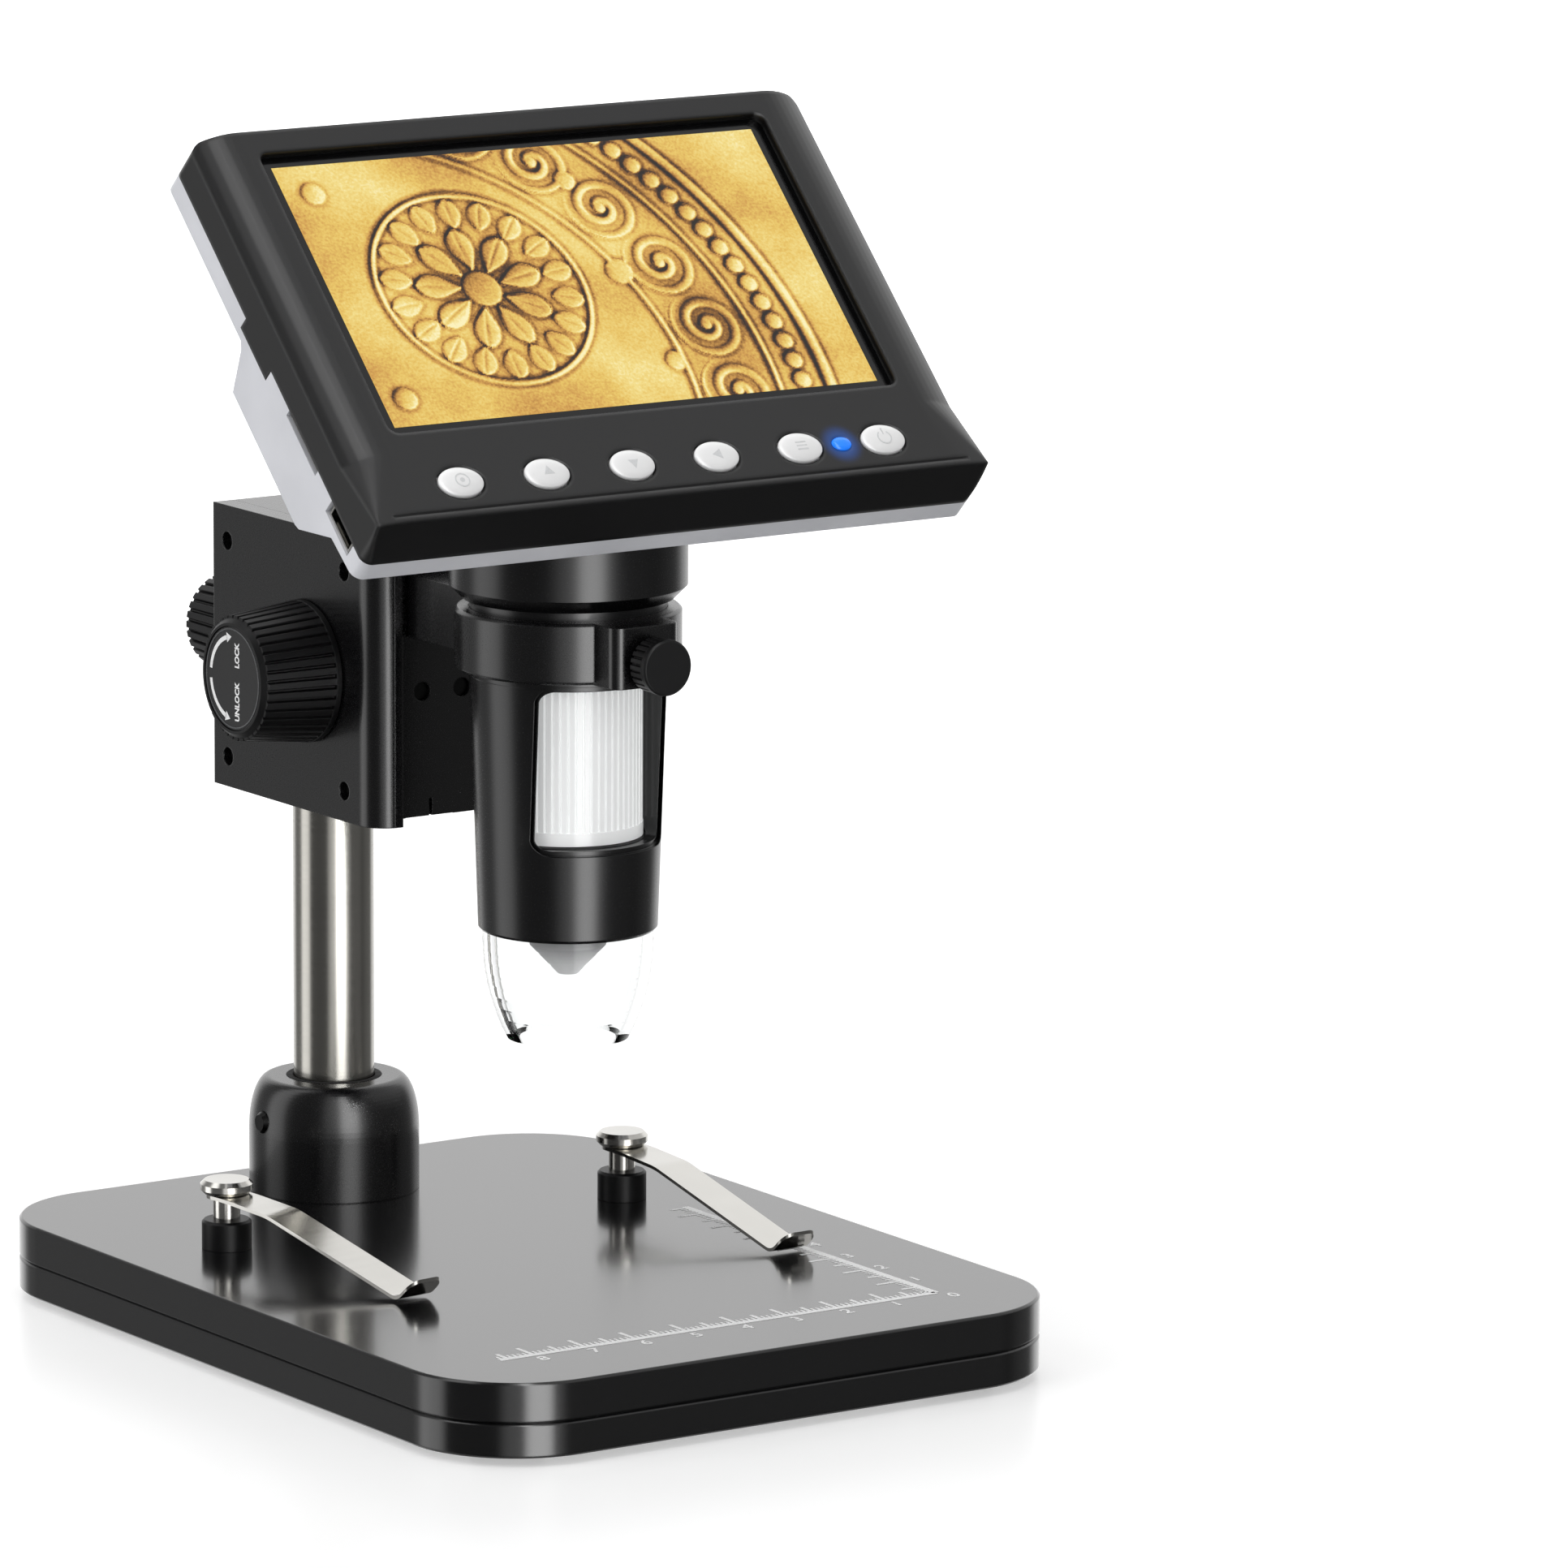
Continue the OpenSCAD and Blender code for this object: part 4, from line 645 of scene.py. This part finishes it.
def relief_height(x, y):
    """Height of a struck medallion, in mm: a petalled wheel, volutes and a beaded rim."""
    height = np.zeros_like(x)
    # petalled wheel at the left
    wx, wy, wr = -19.0, 26.0, 19.5
    r = np.hypot(x - wx, y - wy)
    a = np.arctan2(y - wy, x - wx)
    for count, inner, outer, lift, turn in ((9, 4.0, 12.4, 1.0, 0.2), (18, 12.8, 18.6, 0.7, 0.1)):
        fold = np.abs(np.mod(a * count / (2 * np.pi) + turn, 1) - 0.5) * 2
        along = np.clip((r - inner) / (outer - inner), 0, 1)
        half = 0.78 * np.sin(np.pi * np.clip(along, 0.02, 0.98)) ** 0.55
        inside = (r > inner) & (r < outer)
        petal = np.clip(1 - (fold / np.maximum(half, 0.05)) ** 2, 0, 1) ** 0.5
        vein = 0.22 * ridge(fold, 0.13)
        height = np.where(inside, np.maximum(height, lift * petal - vein), height)
    height = np.maximum.reduce((height, 1.1 * ridge(r, 3.6) ** 0.5, 0.8 * ridge(r - wr, 0.6)))
    # volutes that run round the medallion between two fillets
    cx, cy = -38.0, 8.0
    big = np.hypot(x - cx, y - cy)
    turn = np.arctan2(y - cy, x - cx)
    step = math.radians(13.5)
    cell = np.floor(turn / step)
    mid = (cell + 0.5) * step
    radius = 58.5
    u = x - (cx + radius * np.cos(mid))
    v = y - (cy + radius * np.sin(mid))
    local = np.hypot(u, v) + 1e-6
    swirl = np.arctan2(v, u) - mid
    arm = np.abs(np.mod(swirl / (2 * np.pi) + local / 3.4, 1) - 0.5) * 3.4
    volute = np.where(local < 6.6, ridge(arm, 0.95) * np.clip(1.25 - local / 9, 0, 1), 0)
    height = np.maximum.reduce((height, 0.9 * volute, 1.1 * ridge(local, 1.3) ** 0.5))
    for at, half, lift in ((50.4, 0.55, 0.7), (66.6, 0.6, 0.8), (76.6, 1.3, 1.3)):
        height = np.maximum(height, lift * ridge(big - at, half))
    # beads inside the rim
    bead_step = math.radians(3.3)
    bead_mid = (np.floor(turn / bead_step) + 0.5) * bead_step
    bead = np.hypot(x - (cx + 71.4 * np.cos(bead_mid)), y - (cy + 71.4 * np.sin(bead_mid)))
    height = np.maximum(height, 1.2 * np.sqrt(ridge(bead, 1.75)))
    # rays engraved in the ground between the wheel and the fillets
    ground = (r > wr + 1.2) & (big < 49.2)
    rays = np.abs(np.mod(a * 60 / (2 * np.pi), 1) - 0.5) * 2
    height = np.where(ground, height - 0.16 * ridge(rays, 0.35), height)
    # pellets scattered on the ground
    for px, py, pr in ((6.5, 46.5, 2.0), (11.0, 8.0, 2.0), (8.5, 27.0, 2.6),
                       (-42.0, 48.0, 2.2), (-43.0, 5.5, 2.2)):
        height = np.maximum(height, 0.9 * np.sqrt(ridge(np.hypot(x - px, y - py), pr)))
    return height


def relief_tone(x, y):
    """Tone of the lit relief from 0 to 1: slopes catch the light, steps and grooves hold brown."""
    # how far apart, in mm, the slope and the hollows are felt
    reach, ring = 0.35, 1.1
    height = relief_height(x, y)
    across = (relief_height(x + reach, y) - relief_height(x - reach, y)) / (2 * reach)
    up = (relief_height(x, y + reach) - relief_height(x, y - reach)) / (2 * reach)
    around = np.zeros_like(x)
    for k in range(8):
        angle = k * math.pi / 4
        around += relief_height(x + ring * math.cos(angle), y + ring * math.sin(angle)) / 8
    slope = 0.42 * (across * 0.75 - up * 0.55)
    hollow = np.clip(around - height, 0, 1)
    edge = np.clip(np.hypot(across, up) - 0.9, 0, 2)
    waves = 0.08 * np.sin(x * 0.16 + 0.9) + 0.07 * np.sin(y * 0.21 + x * 0.07)
    tone = 0.70 + waves - slope + 0.06 * height - 1.05 * hollow - 0.34 * edge
    return np.clip(tone, 0, 1)


class MICROSCOPE_OT_picture(bpy.types.Operator):
    """Lay the lit picture, a struck gold relief, on the screen"""

    bl_idname = "microscope.picture"
    bl_label = "Screen picture"

    def execute(self, context):
        z = sizes()
        deselect()
        columns, rows = 400, 226
        bpy.ops.mesh.primitive_grid_add(x_subdivisions=columns, y_subdivisions=rows, size=1)
        sheet = named("screen_picture")
        sheet.scale = (z.lit_width, z.lit_height, 1)
        bpy.ops.object.transform_apply(scale=True)
        points = np.empty(len(sheet.data.vertices) * 3)
        sheet.data.vertices.foreach_get("co", points)
        points = points.reshape(-1, 3) / MM
        tone = relief_tone(points[:, 0], points[:, 1] + z.lit_height / MM / 2)
        attribute = sheet.data.attributes.new("relief", "FLOAT", "POINT")
        attribute.data.foreach_set("value", tone.astype(np.float32))
        # the sheet lies just over the glass, and its border is turned down onto it
        lift, border = 0.035 * MM, 0.03 * MM
        bpy.ops.object.mode_set(mode="EDIT")
        bpy.ops.mesh.select_all(action="DESELECT")
        bpy.ops.mesh.select_mode(type="EDGE")
        bpy.ops.mesh.select_non_manifold()
        bpy.ops.mesh.extrude_edges_move(TRANSFORM_OT_translate={"value": (0, 0, -border)})
        bpy.ops.object.mode_set(mode="OBJECT")
        place(sheet, case_matrix(0, z.lit_height / 2, lift))
        sheet.data.materials.append(screen_picture())
        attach(sheet, "head")
        return {"FINISHED"}


# ---------- finishes of the frame


class MICROSCOPE_OT_finish_frame(bpy.types.Operator):
    """Give every piece of the frame its finish"""

    bl_idname = "microscope.finish_frame"
    bl_label = "Frame finishes"

    def execute(self, context):
        made = finishes()
        slots = {part["node"]: part["material_slot"] for part in frame["record"]["subparts"]}
        made["case"] = case_plastic("Satin black ABS case")
        made["cone"] = cone_plastic("Grey ABS cone")
        made["post"] = turned_metal("Polished steel post", "#a8a6a0", 0.2, (0.02, 0.02, 1.0))
        slots.update(front_bezel="case", lens_cone="cone", post="post")
        for name, node in frame["nodes"].items():
            material = made[slots[name]]
            if not node.data.materials:
                node.data.materials.append(material)
            for i in range(len(node.data.materials)):
                node.data.materials[i] = material
        return {"FINISHED"}


# ---------- marks and trim


class MICROSCOPE_OT_ruler(bpy.types.Operator):
    """Print the two scales, in centimetres, on the stage"""

    bl_idname = "microscope.ruler"
    bl_label = "Ruler"

    def execute(self, context):
        z = sizes()
        cx, cy = z.ruler_corner
        t = z.print_height
        height = STAGE_Z + t / 2
        edge = z.ruler_line / 2
        bars = [((cx - z.ruler_front / 2, cy), (z.ruler_front, z.ruler_line)),
                ((cx, cy + z.ruler_side / 2), (z.ruler_line, z.ruler_side))]
        for run, along in ((z.ruler_front, 0), (z.ruler_side, 1)):
            for i in range(1, int(run / MM) + 1):
                tick, wide = next((length * MM, width * MM) for every, length, width in TICKS
                                  if i % every == 0)
                if along == 0:
                    bars.append(((cx - i * MM, cy + edge + tick / 2), (wide, tick)))
                else:
                    bars.append(((cx - edge - tick / 2, cy + i * MM), (tick, wide)))
        # an emptied cube gathers all the bars in one mesh
        ruler = bar("ruler_scales", (0, 0, 0), (1, 1, 1))
        ruler.data.clear_geometry()
        bpy.ops.object.mode_set(mode="EDIT")
        for (x, y), (wx, wy) in bars:
            bpy.ops.mesh.primitive_cube_add(size=1, location=(x, y, height), scale=(wx, wy, t))
        bpy.ops.object.mode_set(mode="OBJECT")
        spots = [(i, cx - i * CM + (0 if i else ZERO_SHIFT), cy - DIGIT_BELOW)
                 for i in range(int(z.ruler_front / CM) + 1)]
        spots += [(i, cx + DIGIT_BESIDE, cy + i * CM) for i in range(1, int(z.ruler_side / CM) + 1)]
        digits = []
        for i, x, y in spots:
            digit = text_mesh(str(i), DIGIT, t, "ruler_digit")
            place(digit, Matrix.Translation((x, y, height)))
            digits.append(digit)
        ruler = join([ruler] + digits, "ruler_print")
        hand_over(ruler, "base", ink("White stage print", colours().print_white))
        return {"FINISHED"}


class MICROSCOPE_OT_knob_marks(bpy.types.Operator):
    """Print the turning arrows and words on the lock knob's cap"""

    bl_idname = "microscope.knob_marks"
    bl_label = "Knob marks"

    def execute(self, context):
        low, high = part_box("lock_cap")
        face_x = low[0]
        cy, cz = (low[1] + high[1]) / 2, (low[2] + high[2]) / 2
        t, r, line, arrow, letter = 0.06 * MM, 7.1 * MM, 0.75 * MM, 1.0 * MM, 1.9 * MM
        # two arcs, broken behind the words, and an arrowhead at either end
        parts = [arc_band("knob_arc", r, line, t, math.radians(first), math.radians(last), 16)
                 for first, last in ((104, 173), (187, 252))]
        for angle, way in ((101, -1), (255, 1)):
            tip = wedge("knob_tip", arrow, t)
            at = math.radians(angle)
            turn = at if way > 0 else at + math.pi
            place(tip, Matrix.Translation((r * math.cos(at), r * math.sin(at), 0))
                  @ Matrix.Rotation(turn, 4, "Z"))
            parts.append(tip)
        # the words run up the cap, a little condensed
        column, condensed = 1.5 * MM, 0.84
        for words, y in (("LOCK", 4.1), ("UNLOCK", -3.9)):
            word = text_mesh(words, letter, t, "knob_word")
            place(word, Matrix.Translation((column, y * MM, 0))
                  @ Matrix.Rotation(math.pi / 2, 4, "Z") @ Matrix.Diagonal((condensed, 1, 1, 1)))
            parts.append(word)
        marks = join(parts, "knob_marks")
        # the cap faces the left: its right is the front
        facing = Matrix(((0, 0, -1, face_x), (-1, 0, 0, cy), (0, 1, 0, cz), (0, 0, 0, 1)))
        place(marks, facing)
        hand_over(marks, "lock", ink("White knob print", colours().print_white))
        return {"FINISHED"}


class MICROSCOPE_OT_buttons(bpy.types.Operator):
    """Model the case front with oval openings, its six oval buttons and the oval lamp"""

    bl_idname = "microscope.buttons"
    bl_label = "Oval buttons"

    def ovals(self, half, grow, depth, middle):
        """One oval plug for each button and the lamp, joined as one tool."""
        z = sizes()
        tools = []
        for x, (across, up) in half:
            deselect()
            bpy.ops.mesh.primitive_cylinder_add(vertices=64, radius=1, depth=1)
            tool = named("oval_tool")
            tool.scale = (across + grow, up + grow, depth)
            place(tool, case_matrix(x, -z.button_row, middle))
            tools.append(tool)
        return join(tools, "oval_tools")

    def execute(self, context):
        z = sizes()
        places = [(i - 2.5) * z.button_pitch for i in range(6)]
        lamp_x = 2 * z.button_pitch
        # the case front: its round openings are filled, then cut again as ovals
        source = frame["nodes"]["front_bezel"]
        front = source.copy()
        front.data = source.data.copy()
        context.collection.objects.link(front)
        for key in list(front.keys()):
            del front[key]
        pick(front)
        named("case_front")
        bpy.ops.mesh.customdata_custom_splitnormals_clear()
        edit_whole()
        bpy.ops.mesh.remove_doubles(threshold=0.001 * MM)
        bpy.ops.object.mode_set(mode="OBJECT")
        plugs = [(x, (BUTTON_PLUG, BUTTON_PLUG)) for x in places]
        plugs.append((lamp_x, (LAMP_PLUG, LAMP_PLUG)))
        carve(front, self.ovals(plugs, 0, PLUG_DEPTH, PLUG_MIDDLE), "UNION")
        buttons = [(x, tuple(z.button_half)) for x in places]
        lamp = [(lamp_x, tuple(z.lamp_half))]
        for half, gap in ((buttons, z.button_gap), (lamp, LAMP_GAP)):
            carve(front, self.ovals(half, gap, CUT_DEPTH, CUT_MIDDLE), "DIFFERENCE")
        # a fine groove along the chin, inside its lower edge
        low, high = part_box("front_bezel")
        groove = bar("chin_groove", (0, 0, 0),
                     (high[0] - low[0] - GROOVE_MARGIN, GROOVE_WIDTH, GROOVE_DEPTH))
        place(groove, case_matrix(0, GROOVE_S, GROOVE_N))
        carve(front, groove, "DIFFERENCE")
        hand_over(front, "head", bpy.data.materials["Satin black ABS case"])
        bpy.ops.object.shade_flat()
        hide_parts("front_bezel")
        for i, x in enumerate(places):
            cap = swept("button_cap_%d" % (i + 1),
                        domed(z.button_half, BUTTON_STEM, BUTTON_WALL, z.button_crown))
            place(cap, case_matrix(x, -z.button_row))
            hand_over(cap, "button_%d" % (i + 1), bpy.data.materials["Glossy white ABS"])
            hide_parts("button_%d" % (i + 1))
        lens = swept("lamp_lens", domed(z.lamp_half, LAMP_STEM, LAMP_WALL, LAMP_CROWN))
        place(lens, case_matrix(lamp_x, -z.button_row))
        hand_over(lens, "head", bpy.data.materials["Lit blue lamp"])
        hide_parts("power_lamp")
        return {"FINISHED"}


class MICROSCOPE_OT_button_marks(bpy.types.Operator):
    """Print the pale signs on the buttons"""

    bl_idname = "microscope.button_marks"
    bl_label = "Button marks"

    def execute(self, context):
        z = sizes()
        t, line = 0.12 * MM, 0.22 * MM
        # each print sinks a little into its button's crown
        height = z.button_crown - 0.42 * t
        pale = ink("Pale button print", "#e6e7e8")
        quarter = math.pi / 2
        ring, dot, arrow = 1.25 * MM, 0.45 * MM, 1.15 * MM
        # first a ring with a dot, last an open ring with a bar, between them three arrowheads
        # and three lines
        for i in range(6):
            parts = []
            if i in (0, 5):
                gap = 0.6 if i == 5 else 0.0
                parts.append(arc_band("ring", ring, line, t, quarter + gap, 5 * quarter - gap, 32))
                if i == 5:
                    parts.append(bar("mark", (0, 1.2 * MM, 0), (line, 1.3 * MM, t)))
                else:
                    deselect()
                    bpy.ops.mesh.primitive_cylinder_add(vertices=24, radius=dot, depth=t)
                    parts.append(named("mark"))
            elif i in (1, 2, 3):
                parts.append(wedge("mark", arrow, t))
                place(parts[0], Matrix.Rotation({1: 0, 2: 2 * quarter, 3: quarter}[i], 4, "Z"))
            else:
                parts = [bar("mark", (0, row * MM, 0), (2.0 * MM, 0.24 * MM, t))
                         for row in (-0.7, 0, 0.7)]
            mark = join(parts, "button_mark_%d" % (i + 1)) if len(parts) > 1 else parts[0]
            mark.name = "button_mark_%d" % (i + 1)
            place(mark, case_matrix((i - 2.5) * z.button_pitch, -z.button_row, height))
            hand_over(mark, "button_%d" % (i + 1), pale)
        return {"FINISHED"}


class MICROSCOPE_OT_seals(bpy.types.Operator):
    """Fit the dark seal round the post and the thin rings on the knob caps, lighter grey as a
    painted edge highlight
    """

    bl_idname = "microscope.seals"
    bl_label = "Seals and rings"

    def execute(self, context):
        low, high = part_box("post")
        py = (low[1] + high[1]) / 2
        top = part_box("post_collar")[1][2]
        radius, width, height, sunk = 7.72 * MM, 1.1 * MM, 1.3 * MM, 0.6 * MM
        seal = arc_band("collar_seal", radius, width, height, 0, 2 * math.pi, 64)
        place(seal, Matrix.Translation((0, py, top - sunk)))
        hand_over(seal, "base", bpy.data.materials["Moulded black rubber"])
        # the caps' thin rings are real, and their lighter grey than the knob is a painted highlight
        # along the caps' edge
        highlight_ring_plastic = moulded("Glossy cap ring with painted highlight", "#4c4d4f", 0.22, 0.3, 0.002)
        radius, width, height = 8.5 * MM, 0.28 * MM, 0.2 * MM
        for cap, body, side in (("lock_cap", "lock", -1), ("lift_cap", "drive", 1)):
            low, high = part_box(cap)
            face_x = low[0] if side < 0 else high[0]
            middle = Vector((face_x, (low[1] + high[1]) / 2, (low[2] + high[2]) / 2))
            ring = arc_band(cap + "_ring", radius, width, height, 0, 2 * math.pi, 64)
            place(ring, Matrix.Translation(middle) @ Matrix.Rotation(math.pi / 2, 4, "Y"))
            hand_over(ring, body, highlight_ring_plastic)
        return {"FINISHED"}


# ---------- stage


def camera_frame():
    """Right, up and forward of the photograph's view, and the camera's place in metres."""
    turn, rise, roll = (math.radians(angle) for angle in CAMERA_TURNS)
    right = Vector((math.cos(turn), math.sin(turn), 0))
    forward = Vector((-math.sin(turn) * math.cos(rise), math.cos(turn) * math.cos(rise),
                      -math.sin(rise)))
    up = right.cross(forward)
    across = right * math.cos(roll) + up * math.sin(roll)
    upward = -right * math.sin(roll) + up * math.cos(roll)
    place_mm = (-forward * CAMERA_REACH + across * CAMERA_RIGHT + upward * CAMERA_UP
                + Vector(CAMERA_AIM))
    return across, upward, forward, place_mm * MM


def seen_as_white(tree, path):
    """1 for rays from the camera, straight or through clear plastic."""
    return add(tree, "ShaderNodeMath", operation="MAXIMUM",
               links={0: path.outputs["Is Camera Ray"], 1: path.outputs["Is Transmission Ray"]})


class MICROSCOPE_OT_studio(bpy.types.Operator):
    """Set the pale floor, the soft lamps, the world and the camera"""

    bl_idname = "microscope.studio"
    bl_label = "Studio"

    def execute(self, context):
        scene = context.scene
        scene.view_settings.view_transform = "Standard"
        self.floor()
        self.lamps()
        self.world(scene)
        self.camera(scene)
        return {"FINISHED"}

    def floor(self):
        deselect()
        bpy.ops.mesh.primitive_grid_add(x_subdivisions=8, y_subdivisions=8, size=30,
                                        location=(0, 6, 0))
        floor = named("studio_floor")
        bpy.ops.object.transform_apply(location=True)
        made, tree, shader = blank("Pale studio floor")
        path = add(tree, "ShaderNodeLightPath")
        here = add(tree, "ShaderNodeTexCoord").outputs["Object"]
        speck = add(tree, "ShaderNodeTexNoise", {"Scale": 60.0}, {"Vector": here})
        grey = colours().floor
        tone = add(tree, "ShaderNodeMix", {FIRST: linear(grey), SECOND: linear(shade(grey, 0.985))},
                   {0: speck.outputs[0]}, data_type="RGBA")
        # where it is seen, the floor is lifted to white, fully so far away
        away = add(tree, "ShaderNodeVectorMath", links={0: here}, operation="LENGTH")
        lift = add(tree, "ShaderNodeMapRange",
                   {"From Min": 0.16, "From Max": 0.9, "To Min": FLOOR_LIFT, "To Max": 1.0},
                   {"Value": away.outputs["Value"]}, interpolation_type="SMOOTHSTEP")
        seen = seen_as_white(tree, path)
        glow = add(tree, "ShaderNodeMath", links={0: lift.outputs[0], 1: seen.outputs[0]},
                   operation="MULTIPLY")
        feed(tree, shader, {"Roughness": 0.28, "IOR": 1.2, "Emission Color": (1, 1, 1, 1)},
             {"Base Color": tone.outputs[MIXED], "Emission Strength": glow.outputs[0]})
        # reflections on the object pass through the floor to the studio's panels
        clear = add(tree, "ShaderNodeBsdfTransparent")
        mixed = add(tree, "ShaderNodeMixShader",
                    links={0: path.outputs["Is Glossy Ray"], 1: shader.outputs[0],
                           2: clear.outputs[0]})
        output = next(node for node in tree.nodes if node.type == "OUTPUT_MATERIAL")
        tree.links.new(mixed.outputs[0], output.inputs["Surface"])
        floor.data.materials.append(made)

    def lamps(self):
        target = Vector((0, 0, 0.1))
        for name, at, size, power in (
                ("left_softbox", (-1.15, 0.05, 0.75), (1.0, 1.4), LEFT_W),
                ("overhead_softbox", (0.1, 0.2, 1.5), (1.3, 1.3), TOP_W),
                ("front_softbox", (-0.3, -1.6, 0.7), (0.8, 0.8), FRONT_W)):
            deselect()
            bpy.ops.object.light_add(type="AREA", location=at)
            lamp = named(name)
            lamp.data.shape = "RECTANGLE"
            lamp.data.size, lamp.data.size_y = size
            lamp.data.energy = power
            lamp.rotation_euler = (target - Vector(at)).to_track_quat("-Z", "Y").to_euler()
            lamp.visible_glossy = False

    def world(self, scene):
        """White where seen, an even dim room for diffuse light, and panels in reflections."""
        world = bpy.data.worlds.new("Soft studio")
        scene.world = world
        world.use_nodes = True
        tree = world.node_tree
        tree.nodes.clear()
        path = add(tree, "ShaderNodeLightPath")
        way = add(tree, "ShaderNodeTexCoord").outputs["Generated"]
        level_way = add(tree, "ShaderNodeVectorMath", {1: (1, 1, 0)}, {0: way},
                        operation="MULTIPLY")
        flat = add(tree, "ShaderNodeVectorMath", links={0: level_way.outputs[0]},
                   operation="NORMALIZE")
        total = None
        for azimuth, rise, inner, outer, strength in PANELS:
            upright = rise is None
            tilt = 0 if upright else math.radians(rise)
            turn = math.radians(azimuth)
            toward = (math.cos(turn) * math.cos(tilt), math.sin(turn) * math.cos(tilt),
                      math.sin(tilt))
            dot = add(tree, "ShaderNodeVectorMath", {1: toward},
                      {0: flat.outputs[0] if upright else way}, operation="DOT_PRODUCT")
            panel = add(tree, "ShaderNodeMapRange",
                        {"From Min": math.cos(math.radians(outer)),
                         "From Max": math.cos(math.radians(inner)),
                         "To Min": 0.0, "To Max": strength},
                        {"Value": dot.outputs["Value"]}, interpolation_type="SMOOTHSTEP")
            # the first panel is added to the room's own light, the others to the sum so far
            room, links = {1: ROOM}, {0: panel.outputs[0]}
            if total is not None:
                room, links = {}, {0: total.outputs[0], 1: panel.outputs[0]}
            total = add(tree, "ShaderNodeMath", room, links, operation="ADD")
        # reflections that look down at the floor are dimmer
        split = add(tree, "ShaderNodeSeparateXYZ", links={0: way})
        low = add(tree, "ShaderNodeMapRange",
                  {"From Min": -0.75, "From Max": -0.3, "To Min": 0.3, "To Max": 1.0},
                  {"Value": split.outputs["Z"]}, interpolation_type="SMOOTHSTEP")
        glossy = add(tree, "ShaderNodeMath", links={0: total.outputs[0], 1: low.outputs[0]},
                     operation="MULTIPLY")
        even = add(tree, "ShaderNodeMix", {2: AMBIENT},
                   {0: path.outputs["Is Glossy Ray"], 3: glossy.outputs[0]}, data_type="FLOAT")
        seen = seen_as_white(tree, path)
        final = add(tree, "ShaderNodeMath", links={0: even.outputs[0], 1: seen.outputs[0]},
                    operation="MAXIMUM")
        background = add(tree, "ShaderNodeBackground", {"Color": (1, 1, 1, 1)},
                         {"Strength": final.outputs[0]})
        add(tree, "ShaderNodeOutputWorld", links={"Surface": background.outputs[0]})

    def camera(self, scene):
        across, upward, forward, at = camera_frame()
        deselect()
        bpy.ops.object.camera_add()
        camera = named("studio_camera")
        turned = Matrix((across, upward, -forward)).transposed().to_4x4()
        camera.matrix_world = Matrix.Translation(at) @ turned
        camera.data.sensor_width = 36
        camera.data.lens = CAMERA_LENS
        camera.data.clip_start = 0.05
        camera.data.clip_end = 60
        scene.camera = camera


# ---------- panel and main


class MICROSCOPE_PT_panel(bpy.types.Panel):
    """Lists the steps that dress the microscope"""

    bl_idname = "MICROSCOPE_PT_panel"
    bl_label = "Microscope"
    bl_space_type = "VIEW_3D"
    bl_region_type = "UI"
    bl_category = "Microscope"

    def draw(self, context):
        for step in STEPS:
            self.layout.operator(step.bl_idname)


STEPS = (
    MICROSCOPE_OT_finish_frame,
    MICROSCOPE_OT_picture,
    MICROSCOPE_OT_ruler,
    MICROSCOPE_OT_knob_marks,
    MICROSCOPE_OT_buttons,
    MICROSCOPE_OT_button_marks,
    MICROSCOPE_OT_seals,
    MICROSCOPE_OT_studio,
)
CLASSES = (MicroscopeSizes, MicroscopeColours) + STEPS + (MICROSCOPE_PT_panel,)


def register():
    for each in CLASSES:
        bpy.utils.register_class(each)
    bpy.types.Scene.microscope_sizes = PointerProperty(type=MicroscopeSizes)
    bpy.types.Scene.microscope_colours = PointerProperty(type=MicroscopeColours)


def unregister():
    del bpy.types.Scene.microscope_colours
    del bpy.types.Scene.microscope_sizes
    for each in reversed(CLASSES):
        bpy.utils.unregister_class(each)


def main():
    register()
    bpy.ops.microscope.finish_frame()
    bpy.ops.microscope.picture()
    bpy.ops.microscope.ruler()
    bpy.ops.microscope.knob_marks()
    bpy.ops.microscope.buttons()
    bpy.ops.microscope.button_marks()
    bpy.ops.microscope.seals()
    bpy.ops.microscope.studio()


if __name__ == "__main__":
    main()
